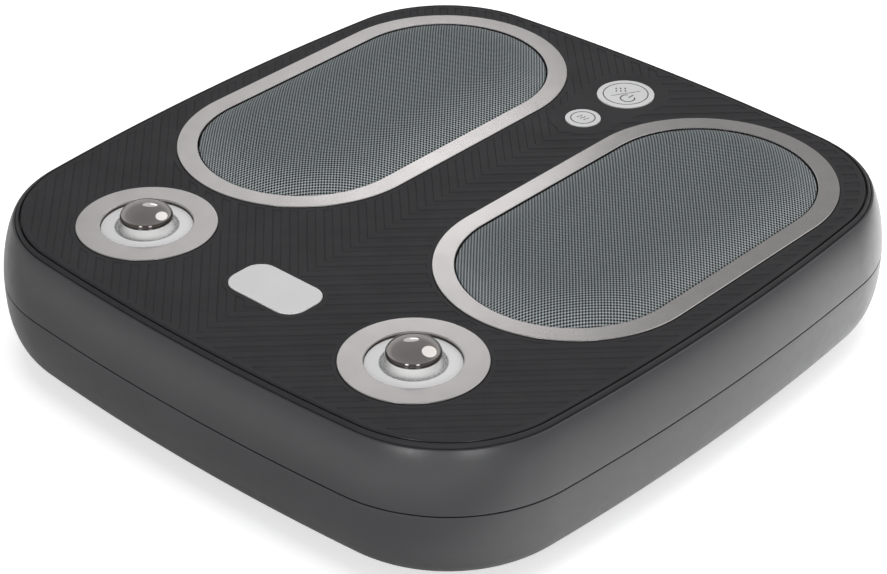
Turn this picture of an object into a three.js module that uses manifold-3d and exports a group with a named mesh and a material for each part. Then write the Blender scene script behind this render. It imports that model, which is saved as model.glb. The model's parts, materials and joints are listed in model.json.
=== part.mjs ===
// Foot massager: a low body with two mesh covered kneading beds, two acupressure studs in
// front of them, two top buttons and a geared kneading drive under each bed.
// Millimetres. The origin is on the table, under the middle of the body. +X is to the right of
// the person who uses it, +Y points away from that person and +Z is up.
import * as THREE from 'three';
import { mergeVertices } from 'three/addons/utils/BufferGeometryUtils.js';
import Module from 'manifold-3d';

const wasm = await Module();
wasm.setup();

// Fits
const gap = 0.3; // between neighbouring pieces that touch on the real object
const overrun = 1; // how far a cut goes past the face that it cuts

// Body
const footHeight = 3; // housing underside above the table
const bodyHeight = 79; // housing underside to the top of the trims
const seamDrop = 35; // top of the trims to the seam
const seamGap = 0.6;
const wall = 2.5;
const sideRadius = 1334; // the long sides bow out a little
const endRadius = 1316;
const cornerRadius = 68;
const wallFlare = 10.5; // how far the wall stands out from the panel line at the seam
const undersideInset = 17.3; // how far the flat underside stays in from the panel line
const floorEdgeInset = 2.7; // inner floor's edge in from the underside's edge
const wallStart = 1.1; // upper end of the wall's curve, out from the panel line
const wallStartDrop = 0.9; // top of the trims to that end
const lipDrop = 3.1; // top of the trims to the lip that cuts the curve off
const upperBulgeShare = 1.62; // exponent of the wall's curve above the seam
const lowerBulgeShare = 2.69; // exponent of the wall's curve below it

// Top panel, rim bead and deck
const panelGap = 0.6; // dark gap round the panel
const panelSink = 0.6; // panel top below the trims' top
const panelThickness = 3.7;
const deckThickness = 2.5;
const rimWidth = 2.1;
const rimCrestDrop = 1.15; // top of the trims to the bead's highest line

// Kneading beds
const bedHalfSpacing = 92; // middle of the body to the middle of a bed
const bedStraight = 110; // distance between the two end arcs' centres
const bedSideMargin = 14.2; // bed trim to the panel line at the side
const bedBackMargin = 15.3; // bed trim to the panel line at the back
const trimOuter = 68.4; // end radius of the bed trim
const trimWidth = 11;
const trimThickness = 1.9;
const trimBevel = 0.3;
const trimLedge = 4; // panel left under the trims' outer edge
const skirtWall = 2.5;
const skirtDepth = 7.5; // top of the trim to the skirt's lower edge
const coverTuck = 4.4; // cover hidden under the trim
const coverEdge = 1.8; // thickness of the tucked border
const coverCrown = 8.5; // crown above the trims' top
const coverShoulderDrop = 0.8; // top of the trims to the cover's visible edge
const coverEdgeInset = 0.9; // visible edge of the cover inside the trim
const heaterThickness = 0.5;
const heaterWidth = 16;
const pocketWall = 2.5;
const pocketLip = 2; // how far the pocket's ledge reaches in past the trim's inner edge

// Acupressure studs
const studBedGap = 9.4; // stud trim to the bed trim behind it
const studFrontMargin = 23.1; // stud trim to the panel line at the front
const studTrimOuter = 36;
const studTrimWidth = 12.4;
const studSkirtWall = 1.5;
const studSkirtDepth = 3;
const dishFlange = 1; // thickness of the dish's flange
const dishBodyMargin = 1.3; // dish below the deck, out from the stud trim's skirt
const dishDepth = 9.8; // top of the trims to the dish's underside
const grooveOut = 3; // bottom of the groove, out from the stem
const grooveDrop = 5.9; // top of the trims to the bottom of the groove
const stemRadius = 11.6;
const stemHeight = 2.9; // stem top above the trims' top
const stemBore = 4;
const stemTail = 14; // top of the trims to the stem's lower end
const capRadius = 13.6;
const capHeight = 7.3;
const capLand = 0.3; // straight edge of the cap

// Buttons, badge plate and board
const powerBackMargin = 37; // power button's middle to the panel line at the back
const powerRadius = 15.8;
const buttonPitch = 36.7; // between the two buttons' middles
const heatRadius = 9.7;
const buttonProud = 0.3; // button top above the panel
const buttonFlange = 2.3; // how far the hidden flange stands out from the button
const buttonFlangeHeight = 1.6;
const buttonTravel = 0.6;
const buttonStem = 3;
const plateOffset = 0.2; // plate's middle behind the studs' middles
const plateHalfWidth = 24.4;
const plateHalfDepth = 14;
const plateCorner = 10;
const plateThickness = 1.3;
const plateProud = 0.4; // plate top above the panel
const boardDrop = 17.4; // top of the trims to the top of the board
const boardThickness = 1.6;
const boardHalfWidth = 24;
const boardFrontMargin = 13; // board beyond the heat button's middle
const boardBackMargin = 20; // board beyond the power button's middle
const boardPinInset = 5;
const boardPin = 1.3;
const boardPost = 3.2;
const switchSize = 6;
const switchBody = 3.4;
const switchPlunger = 1.7;
const switchPlungerHeight = 0.8;

// Feet and housing screws
const footAside = 39; // foot's middle beside the rear arc's centre
const footBehind = 41.4; // foot's middle behind the rear arc's centre
const footRadius = 12;
const footBevel = 1.4;
const wellClearance = 0.8; // screw well in the underside, round the screw's head
const footPlug = 6.3; // foot's plug inside the well
const bossWall = 2.2; // round the well
const bossBelowSeam = 7; // lower boss ends this far under the seam
const bossWeb = 4; // seat of the screw's head
const screwShank = 1.9;
const screwHead = 4;
const screwHeadHeight = 2.6;
const pilotDepth = 16;
const pilotSpare = 2.3; // pilot hole past the end of the screw
const upperBossWall = 3.3;

// Power inlet
const recessWidth = 16;
const recessHeight = 13;
const recessDepth = 7; // recess floor in from the back of the wall's widest line
const inletWall = 2.5;
const inletWeb = 6; // depth of the block behind the recess floor
const jackWidth = 11;
const jackHeight = 9;
const jackLength = 14;
const jackBore = 3.2;
const jackBoreDepth = 9;
const jackPin = 1;
const leadRadius = 2;

// Kneading drive
const frameHeight = 33.5; // housing floor to the top of the frame plate
const framePlate = 3;
const frameEnd = 46; // end radius of the frame plate
const legRadius = 5;
const legX = 33;
const legBeyond = 23; // legs past the axles, along Y
const axleBoss = 8;
const axleBossRise = 2.7;
const axleBossDepth = 5; // boss below the plate
const axleRadius = 4;
const axleHead = 8;
const axleHeadHeight = 3;
const gearTeeth = 30;
const pinionTeeth = 10;
const gearWidth = 8;
const pressureAngle = THREE.MathUtils.degToRad(20);
const addendumShare = 0.65;
const dedendumShare = 1.25;
const backlash = 0.3;
const pinionShaft = 3;
const shaftDepth = 12; // shaft inside the gearbox
const headInset = 1.4; // heads in from the root of the disc's teeth
const headSpacing = 16.8; // clear distance between two heads of a disc
const headClearance = 1.2; // top of the heads below the cover
const headsPerDisc = 3;
const boxWidth = 44;
const boxDepth = 40;
const boxHeight = 27;
const motorRadius = 13;
const motorLength = 46;
const motorNose = 5;
const motorNoseLength = 4;

// The body's size follows from what it holds
const trimInner = trimOuter - trimWidth;
const studTrimInner = studTrimOuter - studTrimWidth;
const halfWidth = bedHalfSpacing + trimOuter + bedSideMargin;
const bedLength = bedStraight + 2 * trimOuter;
const studLength = 2 * studTrimOuter;
const halfDepth = (studFrontMargin + studLength + studBedGap + bedLength + bedBackMargin) / 2;
const bedCentreY = halfDepth - bedBackMargin - bedLength / 2;
const studY = studFrontMargin + studTrimOuter - halfDepth;
const plateY = studY + plateOffset;
const powerY = halfDepth - powerBackMargin;
const heatY = powerY - buttonPitch;
const footX = bedHalfSpacing + footAside;
const footY = bedCentreY + bedStraight / 2 + footBehind;

// Heights that follow from the sizes above
const trimTop = footHeight + bodyHeight;
const seamZ = trimTop - seamDrop;
const floorTop = footHeight + wall;
const panelTop = trimTop - panelSink;
const panelBottom = panelTop - panelThickness;
const deckTop = panelBottom - gap;
const deckBottom = deckTop - deckThickness;
const ledgeFloor = trimTop - trimThickness - gap;
const coverBorderTop = trimTop - skirtDepth - gap;
const coverBase = coverBorderTop - coverEdge;
const heaterTop = coverBase - gap;
const heaterBottom = heaterTop - heaterThickness;
const pocketFloor = heaterBottom - gap;
const boardTop = trimTop - boardDrop;
const boardBottom = boardTop - boardThickness;
const switchTop = boardTop + gap + switchBody + switchPlungerHeight;
const frameTop = floorTop + frameHeight;
const frameBottom = frameTop - framePlate;
const discBottom = frameTop + axleBossRise + gap;
const discTop = discBottom + gearWidth;
const headBase = discTop + gap;
const headTop = coverBase - headClearance;
const boxTop = frameBottom - gap;
const inletZ = (footHeight + seamZ) / 2;
const bossTop = seamZ - bossBelowSeam;
const screwSeat = bossTop - bossWeb;
const screwTip = bossTop + pilotDepth - pilotSpare;
const lipTop = trimTop - lipDrop;

// Radii and places that follow
const coverOuter = trimInner + coverTuck;
const pocketInner = coverOuter + gap;
const pocketOuter = pocketInner + pocketWall;
const grooveRadius = stemRadius + grooveOut;
const dishBody = studTrimInner + studSkirtWall + dishBodyMargin;
const wellRadius = screwHead + wellClearance;
const bossRadius = wellRadius + bossWall;
const upperBoss = screwShank + gap + upperBossWall;
const gearModule = bedStraight / (gearTeeth + pinionTeeth);
const headReach = gearModule * (gearTeeth / 2 - dedendumShare) - headInset;
const headSpread = 2 * Math.sin(Math.PI / headsPerDisc);
const headRadius = (headReach * headSpread - headSpacing) / (2 + headSpread);
const headOrbit = headReach - headRadius;
const boardFrontY = heatY - boardFrontMargin;
const boardBackY = powerY + boardBackMargin;
const recessFloorY = halfDepth + wallFlare - recessDepth;
const jackBackY = recessFloorY - jackLength;

// How many flats stand for a curve
const cornerSteps = 6;
const sideSteps = 4;
const stadiumSteps = 13;
const roundSteps = 24;
const smallSteps = 12;
const levelSteps = 5;

function finish(color, roughness, metalness) {
  return new THREE.MeshStandardMaterial({ color, roughness, metalness });
}

const materials = {
  housing: finish(0x55555a, 0.35, 0),
  rim: finish(0x3a3a3c, 0.55, 0),
  panel: finish(0x39393b, 0.5, 0),
  silver: finish(0xaaa6a4, 0.4, 0.4),
  mesh: finish(0x65696c, 0.9, 0),
  white: finish(0xdedede, 0.4, 0),
  chrome: finish(0xd0d0d0, 0.08, 1),
  button: finish(0xcdcdcd, 0.45, 0),
  rubber: finish(0x1c1c1c, 0.9, 0),
  steel: finish(0x9a9a9c, 0.35, 1),
  board: finish(0x1f5a34, 0.6, 0),
  black: finish(0x161616, 0.5, 0),
  film: finish(0xb5651d, 0.6, 0),
  nylon: finish(0xe6e1d3, 0.5, 0),
  frame: finish(0x2b2b2e, 0.6, 0),
  head: finish(0x8c2f2a, 0.6, 0),
};

const polar = (radius, angle) => new THREE.Vector2(radius * Math.cos(angle), radius * Math.sin(angle));

// A closed solid from rings of points, each ring one level, with the same number of points.
// A ring is a list of [x, y, z]. A loop of rings closes on itself, a stack ends in flat caps.
function skin(rings, loop) {
  const count = rings[0].length;
  const corners = rings.flat();
  const faces = [];
  const bands = loop ? rings.length : rings.length - 1;
  for (let band = 0; band < bands; band += 1) {
    const low = band * count;
    const high = ((band + 1) % rings.length) * count;
    for (let i = 0; i < count; i += 1) {
      const j = (i + 1) % count;
      faces.push(low + i, low + j, high + j, low + i, high + j, high + i);
    }
  }
  if (!loop) {
    const flat = (ring) => ring.map(([x, y]) => new THREE.Vector2(x, y));
    const cap = (ring) => THREE.ShapeUtils.triangulateShape(flat(ring), []);
    const last = (rings.length - 1) * count;
    cap(rings[0]).forEach(([a, b, c]) => faces.push(a, c, b));
    cap(rings[rings.length - 1]).forEach(([a, b, c]) => faces.push(last + a, last + b, last + c));
  }
  const geometry = new THREE.BufferGeometry();
  geometry.setAttribute('position', new THREE.Float32BufferAttribute(corners.flat(), 3));
  geometry.setIndex(faces);
  return geometry;
}

// Rings of one outline, at the offsets and heights of a section
const sweep = (section, outlineAt, loop) => skin(
  section.map(([offset, z]) => outlineAt(offset).map(({ x, y }) => [x, y, z])),
  loop,
);

// A bed's outline: two half circles of the given radius, joined by straight sides along Y
function bedPoints(radius) {
  const points = [];
  [[0, bedStraight / 2], [Math.PI, -bedStraight / 2]].forEach(([start, y]) => {
    for (let i = 0; i <= stadiumSteps; i += 1) {
      const angle = start + (Math.PI * i) / stadiumSteps;
      points.push(new THREE.Vector2(radius * Math.cos(angle), y + radius * Math.sin(angle)));
    }
  });
  return points;
}

// The body's outline, moved out from the panel line by an offset. The sides and the ends are long
// arcs, and each corner is an arc that runs on smoothly from both.
function bodyPoints(offset) {
  const side = new THREE.Vector2(halfWidth - sideRadius, 0);
  const end = new THREE.Vector2(0, halfDepth - endRadius);
  const toSide = sideRadius - cornerRadius;
  const toEnd = endRadius - cornerRadius;
  const between = end.clone().sub(side);
  const span = between.length();
  const along = (toSide ** 2 - toEnd ** 2 + span ** 2) / (2 * span);
  const across = Math.sqrt(toSide ** 2 - along ** 2);
  const unit = between.normalize();
  const corner = side.clone().addScaledVector(unit, along);
  corner.addScaledVector(new THREE.Vector2(unit.y, -unit.x), -across);
  const sideAngle = corner.clone().sub(side).angle();
  const endAngle = corner.clone().sub(end).angle();
  const quarter = [];
  const arc = (centre, radius, from, to, steps) => {
    for (let i = 0; i < steps; i += 1) {
      const point = polar(radius + offset, from + ((to - from) * i) / steps).add(centre);
      quarter.push([point.x, point.y]);
    }
  };
  arc(side, sideRadius, 0, sideAngle, sideSteps / 2);
  arc(corner, cornerRadius, sideAngle, endAngle, cornerSteps);
  arc(end, endRadius, endAngle, Math.PI / 2, sideSteps / 2);
  const points = [];
  const middle = [0, halfDepth + offset];
  const rest = quarter.slice(1);
  const add = ([x, y]) => points.push(new THREE.Vector2(x, y));
  quarter.forEach(add);
  add(middle);
  rest.slice().reverse().forEach(([x, y]) => add([-x, y]));
  add([-quarter[0][0], quarter[0][1]]);
  rest.forEach(([x, y]) => add([-x, -y]));
  add([middle[0], -middle[1]]);
  rest.slice().reverse().forEach(([x, y]) => add([x, -y]));
  return points;
}

// Wall offset at a height between a narrow end and the widest line, along a superellipse
function wallOffset(z, narrow, wide, narrowZ, wideZ, power) {
  const share = Math.min(Math.abs((wideZ - z) / (wideZ - narrowZ)), 1);
  return narrow + (wide - narrow) * (1 - share ** power) ** (1 / power);
}

// Levels of the wall from a height near the narrow end to the widest line, closer together
// where it curves most
function wallLevels(narrow, wide, narrowZ, wideZ, power, steps, firstZ = narrowZ) {
  const levels = [[wallOffset(firstZ, narrow, wide, narrowZ, wideZ, power), firstZ]];
  for (let i = 1; i <= steps; i += 1) {
    const angle = (Math.PI / 2) * (i / steps);
    const z = wideZ + (narrowZ - wideZ) * Math.cos(angle) ** (2 / power);
    if (Math.abs(z - wideZ) < Math.abs(firstZ - wideZ)) {
      levels.push([wallOffset(z, narrow, wide, narrowZ, wideZ, power), z]);
    }
  }
  return levels;
}

const circle = (radius, x = 0, y = 0) => new THREE.Path().absarc(x, y, radius, 0, 2 * Math.PI);

// An upright solid between two heights, from a THREE.Shape
function plate(shape, bottom, top, steps = smallSteps) {
  const settings = { depth: top - bottom, bevelEnabled: false, curveSegments: steps };
  return new THREE.ExtrudeGeometry(shape, settings).translate(0, 0, bottom);
}

const ringShape = (points, holes = []) => {
  const shape = new THREE.Shape(points);
  shape.holes = holes;
  return shape;
};

function post(radius, bottom, top, steps = smallSteps) {
  const cylinder = new THREE.CylinderGeometry(radius, radius, top - bottom, steps);
  return cylinder.rotateX(Math.PI / 2).translate(0, 0, (bottom + top) / 2);
}

const block = (width, depth, bottom, top) => new THREE.BoxGeometry(width, depth, top - bottom)
  .translate(0, 0, (bottom + top) / 2);

// A turned solid about Z from [radius, z] points, which run upwards on the outside
function turned(profile, steps = roundSteps) {
  const points = profile.map(([radius, z]) => new THREE.Vector2(radius, z));
  return new THREE.LatheGeometry(points, steps).rotateX(Math.PI / 2);
}

// Joins and cuts
function toManifold(geometry) {
  const bare = geometry.clone();
  bare.deleteAttribute('normal');
  bare.deleteAttribute('uv');
  const merged = mergeVertices(bare);
  return new wasm.Manifold(new wasm.Mesh({
    numProp: 3,
    vertProperties: Float32Array.from(merged.attributes.position.array),
    triVerts: Uint32Array.from(merged.index.array),
  }));
}

function toGeometry(manifold) {
  const mesh = manifold.getMesh();
  const geometry = new THREE.BufferGeometry();
  geometry.setAttribute('position', new THREE.BufferAttribute(Float32Array.from(mesh.vertProperties), 3));
  geometry.setIndex(Array.from(mesh.triVerts));
  return geometry;
}

function combine(base, added, removed) {
  const whole = added.reduce((sum, geometry) => sum.add(toManifold(geometry)), toManifold(base));
  return toGeometry(removed.reduce((sum, geometry) => sum.subtract(toManifold(geometry)), whole));
}

const at = (geometry, x, y) => geometry.clone().translate(x, y, 0);
const copies = (geometry, places) => places.map(([x, y]) => at(geometry, x, y));
const bothSides = (x, y) => [[-x, y], [x, y]];
const fourCorners = (x, y) => [[-x, -y], [x, -y], [x, y], [-x, y]];
const feetPlaces = fourCorners(footX, footY);
const bedPlaces = bothSides(bedHalfSpacing, bedCentreY);
const studPlaces = bothSides(bedHalfSpacing, studY);
const boardPins = bothSides(boardHalfWidth - boardPinInset, boardFrontY + boardPinInset)
  .concat(bothSides(boardHalfWidth - boardPinInset, boardBackY - boardPinInset));

const wallBelow = (z) => wallOffset(z, -undersideInset, wallFlare, footHeight, seamZ, lowerBulgeShare);

function lowerHousing() {
  const seam = seamZ - seamGap / 2;
  const outer = wallLevels(-undersideInset, wallFlare, footHeight, seam, lowerBulgeShare, levelSteps + 1);
  const innerWide = wallFlare - wall;
  const innerTop = seam + overrun;
  const floorEdge = -undersideInset - floorEdgeInset;
  const inner = wallLevels(floorEdge, innerWide, floorTop, innerTop, lowerBulgeShare, levelSteps);
  const shell = sweep(outer, bodyPoints, false);
  const hollow = sweep(inner, bodyPoints, false);
  const bare = toGeometry(toManifold(shell).subtract(toManifold(hollow)));
  const recessBottom = inletZ - recessHeight / 2;
  const recessTop = inletZ + recessHeight / 2;
  const blockBottom = recessBottom - inletWall;
  const blockBack = halfDepth + wallBelow(blockBottom) - wall / 2;
  const blockFront = recessFloorY - inletWeb;
  const blockWidth = recessWidth + 2 * inletWall;
  const inletBlock = block(blockWidth, blockBack - blockFront, blockBottom, recessTop + inletWall);
  const recessOut = halfDepth + wallFlare + overrun;
  const recess = block(recessWidth, recessOut - recessFloorY, recessBottom, recessTop);
  const jackHalf = jackHeight / 2 + gap;
  const jackHole = block(jackWidth + 2 * gap, inletWeb + 2 * overrun, inletZ - jackHalf, inletZ + jackHalf);
  return combine(bare, [
    ...copies(post(bossRadius, footHeight + wall / 2, bossTop), feetPlaces),
    at(inletBlock, 0, (blockBack + blockFront) / 2),
  ], [
    ...copies(post(wellRadius, footHeight - overrun, screwSeat), feetPlaces),
    ...copies(post(screwShank + gap, screwSeat - overrun, bossTop + overrun), feetPlaces),
    at(recess, 0, (recessOut + recessFloorY) / 2),
    at(jackHole, 0, recessFloorY - inletWeb / 2),
  ]);
}

// The wall above the seam with the deck, the ledges that carry the covers, the bosses that take
// the housing screws and the posts that carry the board. The rear bosses hang from the ledges.
function upperHousing() {
  const seam = seamZ + seamGap / 2;
  const start = trimTop - wallStartDrop;
  const outer = wallLevels(wallStart, wallFlare, start, seam, upperBulgeShare, levelSteps, lipTop);
  const innerNarrow = wallStart - wall;
  const innerWide = wallFlare - wall;
  const innerSeam = seam - overrun;
  const levels = [innerNarrow, innerWide, start, innerSeam];
  const inner = wallLevels(...levels, upperBulgeShare, levelSteps, deckBottom);
  const shell = sweep(outer.reverse(), bodyPoints, false);
  const hollow = sweep(inner.reverse(), bodyPoints, false);
  const channel = plate(ringShape(bodyPoints(rimWidth + gap)), deckTop, lipTop + overrun);
  const bare = toGeometry(toManifold(shell).subtract(toManifold(hollow)));
  const pocketBottom = pocketFloor - pocketWall;
  const pocket = sweep([
    [trimInner - pocketLip, pocketBottom],
    [pocketOuter, pocketBottom],
    [pocketOuter, deckBottom + gap],
    [pocketInner, deckBottom + gap],
    [pocketInner, pocketFloor],
    [trimInner - pocketLip, pocketFloor],
  ], bedPoints, true);
  const frontBoss = post(upperBoss, bossTop + gap, deckBottom + gap);
  const rearBoss = post(upperBoss, bossTop + gap, pocketFloor - gap);
  const cut = (radius) => post(radius, deckBottom - overrun, deckTop + overrun, roundSteps);
  const bedCut = plate(ringShape(bedPoints(pocketInner)), deckBottom - overrun, deckTop + overrun);
  return combine(bare, [
    ...copies(pocket, bedPlaces),
    ...copies(frontBoss, bothSides(footX, -footY)),
    ...copies(rearBoss, bothSides(footX, footY)),
    ...copies(post(boardPost, boardTop + gap, deckBottom + gap, smallSteps - 2), boardPins),
    ...copies(post(boardPin, boardBottom - overrun, boardTop + overrun, smallSteps - 4), boardPins),
  ], [
    channel,
    ...copies(bedCut, bedPlaces),
    ...copies(cut(dishBody + gap), studPlaces),
    at(cut(powerRadius + buttonFlange + gap), 0, powerY),
    at(cut(heatRadius + buttonFlange + gap), 0, heatY),
    ...copies(post(screwShank + gap, bossTop, bossTop + pilotDepth), feetPlaces),
  ]);
}

function topRim() {
  const crest = trimTop - rimCrestDrop;
  const fall = lipTop - crest;
  return sweep([
    [0, deckTop + gap],
    [rimWidth, deckTop + gap],
    [rimWidth, lipTop],
    [rimWidth * 0.75, crest + fall * 0.5],
    [rimWidth * 0.5, crest + fall * 0.14],
    [rimWidth * 0.2, crest],
    [0, crest + fall * 0.2],
  ], bodyPoints, true);
}

function plateShape(grow) {
  const x = plateHalfWidth + grow;
  const y = plateHalfDepth + grow;
  const radius = plateCorner + grow;
  const shape = new THREE.Shape();
  shape.absarc(x - radius, y - radius, radius, 0, Math.PI / 2);
  shape.absarc(radius - x, y - radius, radius, Math.PI / 2, Math.PI);
  shape.absarc(radius - x, radius - y, radius, Math.PI, 1.5 * Math.PI);
  shape.absarc(x - radius, radius - y, radius, 1.5 * Math.PI, 2 * Math.PI);
  shape.closePath();
  return shape;
}

function topPanel() {
  const base = plate(ringShape(bodyPoints(-panelGap)), panelBottom, panelTop);
  const under = panelBottom - overrun;
  const over = panelTop + overrun;
  const round = (radius, bottom) => post(radius, bottom, over, roundSteps);
  const plateFloor = panelTop + plateProud - plateThickness - gap;
  return combine(base, [], [
    ...copies(plate(ringShape(bedPoints(trimOuter + gap - trimLedge)), under, over), bedPlaces),
    ...copies(plate(ringShape(bedPoints(trimOuter + gap)), ledgeFloor, over), bedPlaces),
    ...copies(round(studTrimOuter + gap - trimLedge, under), studPlaces),
    ...copies(round(studTrimOuter + gap, ledgeFloor), studPlaces),
    at(round(powerRadius + gap, under), 0, powerY),
    at(round(heatRadius + gap, under), 0, heatY),
    at(plate(plateShape(gap), plateFloor, over, smallSteps / 3), 0, plateY),
  ]);
}

const trimSection = (outer, inner, skirt, depth) => [
  [inner, trimTop - depth],
  [inner + skirt, trimTop - depth],
  [inner + skirt, trimTop - trimThickness],
  [outer, trimTop - trimThickness],
  [outer, trimTop - trimBevel],
  [outer - trimBevel, trimTop],
  [inner + trimBevel, trimTop],
  [inner, trimTop - trimBevel],
];

const bedTrim = () => sweep(trimSection(trimOuter, trimInner, skirtWall, skirtDepth), bedPoints, true);

function studTrim() {
  const section = trimSection(studTrimOuter, studTrimInner, studSkirtWall, studSkirtDepth);
  return turned([...section, section[0]]);
}

// The padded cover: a tucked border, a rounded shoulder inside the trim and a broad crown
function meshCover() {
  const edge = trimInner - coverEdgeInset;
  const shoulder = trimTop - coverShoulderDrop;
  const crownRise = trimTop + coverCrown - shoulder;
  const crownShares = [[0.95, 0.17], [0.87, 0.41], [0.77, 0.66], [0.65, 0.86], [0.5, 0.98], [0.3, 1]];
  return sweep([
    [coverOuter, coverBase],
    [coverOuter, coverBorderTop],
    [edge, coverBorderTop],
    [edge, shoulder],
    ...crownShares.map(([across, up]) => [edge * across, shoulder + crownRise * up]),
  ], bedPoints, false);
}

const heaterFilm = () => sweep([
  [coverOuter - heaterWidth, heaterBottom],
  [coverOuter, heaterBottom],
  [coverOuter, heaterTop],
  [coverOuter - heaterWidth, heaterTop],
], bedPoints, true);

// The white dish: a flange on the deck, a shallow dish, a groove and the flared stem
function studDish() {
  const top = trimTop - studSkirtDepth - gap;
  const groove = trimTop - grooveDrop;
  const stemTop = trimTop + stemHeight;
  const lift = top - groove;
  const out = studTrimInner - grooveRadius;
  const inward = grooveRadius - stemRadius;
  const flangeOuter = studTrimOuter - trimLedge;
  const profile = [
    [stemBore, trimTop - stemTail],
    [stemRadius, trimTop - stemTail],
    [stemRadius, trimTop - dishDepth],
    [dishBody - wall, trimTop - dishDepth],
    [dishBody, trimTop - dishDepth + wall],
    [dishBody, top - dishFlange],
    [flangeOuter, top - dishFlange],
    [flangeOuter, top],
    [grooveRadius + out * 0.6, top],
    [grooveRadius + out * 0.3, groove + lift * 0.75],
    [grooveRadius + out * 0.12, groove + lift * 0.2],
    [grooveRadius, groove],
    [grooveRadius - inward * 0.5, groove + lift * 0.25],
    [grooveRadius - inward * 0.85, groove + lift],
    [stemRadius, groove + lift * 2],
    [stemRadius, stemTop],
    [stemBore, stemTop],
  ];
  return turned([...profile, profile[0]], roundSteps - 4);
}

// The domed cap: half an ellipsoid over a short straight edge, with a tail in the stem's bore
function studCap() {
  const base = trimTop + stemHeight + gap;
  const domeSteps = 5;
  const dome = Array.from({ length: domeSteps }, (_, i) => {
    const angle = (Math.PI / 2) * (i / domeSteps);
    return [capRadius * Math.cos(angle), base + capLand + capHeight * Math.sin(angle)];
  });
  return turned([
    [0, trimTop - stemTail + gap],
    [stemBore - gap, trimTop - stemTail + gap],
    [stemBore - gap, base],
    [capRadius - capLand, base],
    ...dome,
    [0, base + capLand + capHeight],
  ], roundSteps - 4);
}

function button(radius) {
  const top = panelTop + buttonProud;
  const flangeTop = panelBottom - gap;
  const flangeBottom = flangeTop - buttonFlangeHeight;
  const edge = 2 * gap;
  return turned([
    [0, switchTop + buttonTravel + gap],
    [buttonStem, switchTop + buttonTravel + gap],
    [buttonStem, flangeBottom],
    [radius + buttonFlange, flangeBottom],
    [radius + buttonFlange, flangeTop],
    [radius, flangeTop],
    [radius, top - edge],
    [radius - edge, top],
    [0, top],
  ], roundSteps - 4);
}

function badgePlate() {
  const top = panelTop + plateProud;
  return plate(plateShape(0), top - plateThickness, top, smallSteps / 3);
}

function rubberFoot() {
  const top = footHeight - gap;
  return turned([
    [0, 0],
    [footRadius - footBevel, 0],
    [footRadius, footBevel],
    [footRadius, top],
    [wellRadius - gap, top],
    [wellRadius - gap, top + footPlug],
    [0, top + footPlug],
  ], smallSteps);
}

const housingScrew = () => turned([
  [0, screwSeat - gap - screwHeadHeight],
  [screwHead, screwSeat - gap - screwHeadHeight],
  [screwHead, screwSeat - gap],
  [screwShank, screwSeat - gap],
  [screwShank, screwTip],
  [0, screwTip],
], smallSteps - 4);

function dcSocket() {
  const body = block(jackWidth, jackLength, inletZ - jackHeight / 2, inletZ + jackHeight / 2);
  const lying = (radius, from, to) => new THREE.CylinderGeometry(radius, radius, to - from, smallSteps)
    .translate(0, (from + to) / 2, inletZ);
  const withHole = combine(
    at(body, 0, jackBackY + jackLength / 2),
    [],
    [lying(jackBore, 0, jackBoreDepth + overrun).translate(0, recessFloorY - jackBoreDepth, 0)],
  );
  const pin = lying(jackPin, 0, jackBoreDepth - gap).translate(0, recessFloorY - jackBoreDepth - gap, 0);
  return combine(withHole, [pin], []);
}

function controlBoard() {
  const shape = ringShape([
    new THREE.Vector2(-boardHalfWidth, boardFrontY),
    new THREE.Vector2(boardHalfWidth, boardFrontY),
    new THREE.Vector2(boardHalfWidth, boardBackY),
    new THREE.Vector2(-boardHalfWidth, boardBackY),
  ], boardPins.map(([x, y]) => circle(boardPin + gap, x, y)));
  return plate(shape, boardBottom, boardTop, smallSteps - 4);
}

function pushSwitch() {
  const bottom = boardTop + gap;
  const body = block(switchSize, switchSize, bottom, bottom + switchBody);
  return combine(body, [post(switchPlunger, bottom + switchBody - gap, switchTop, smallSteps - 4)], []);
}

function wireHarness() {
  const start = new THREE.Vector3(0, jackBackY - gap, inletZ);
  const end = new THREE.Vector3(0, jackBackY - jackLength * 2, boardBottom - gap);
  const rise = end.z - start.z;
  const route = new THREE.CatmullRomCurve3([
    start,
    new THREE.Vector3(0, start.y - leadRadius * 3, start.z),
    new THREE.Vector3(0, start.y - leadRadius * 7, start.z + rise * 0.16),
    new THREE.Vector3(0, start.y - leadRadius * 10, start.z + rise * 0.45),
    new THREE.Vector3(0, end.y, end.z - leadRadius * 3),
    end,
  ]);
  const section = new THREE.Shape().absarc(0, 0, leadRadius, 0, 2 * Math.PI);
  const settings = { steps: smallSteps, extrudePath: route, curveSegments: smallSteps / 3 };
  return new THREE.ExtrudeGeometry(section, settings);
}

// Spur gear with straight tooth sides laid on the involute's root, pitch and tip points.
// The first tooth is centred on the start angle.
function gearShape(teeth, start, pitchPoint) {
  const pitch = (gearModule * teeth) / 2;
  const base = pitch * Math.cos(pressureAngle);
  const involute = (radius) => {
    const angle = Math.acos(Math.min(base / radius, 1));
    return Math.tan(angle) - angle;
  };
  const pitchHalf = Math.PI / (2 * teeth) - backlash / (2 * pitch);
  const half = (radius) => pitchHalf + involute(pitch) - involute(radius);
  const root = pitch - gearModule * dedendumShare;
  const tip = pitch + gearModule * addendumShare;
  const radii = pitchPoint ? [root, pitch, tip] : [root, tip];
  const points = [];
  for (let tooth = 0; tooth < teeth; tooth += 1) {
    const centre = start + (2 * Math.PI * tooth) / teeth;
    radii.forEach((radius) => points.push(polar(radius, centre - half(radius))));
    radii.slice().reverse().forEach((radius) => points.push(polar(radius, centre + half(radius))));
  }
  return new THREE.Shape(points);
}

function kneadingDisc() {
  const shape = gearShape(gearTeeth, 0, false);
  shape.holes = [circle(axleRadius + gap)];
  return plate(shape, discBottom, discTop, smallSteps / 2);
}

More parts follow.
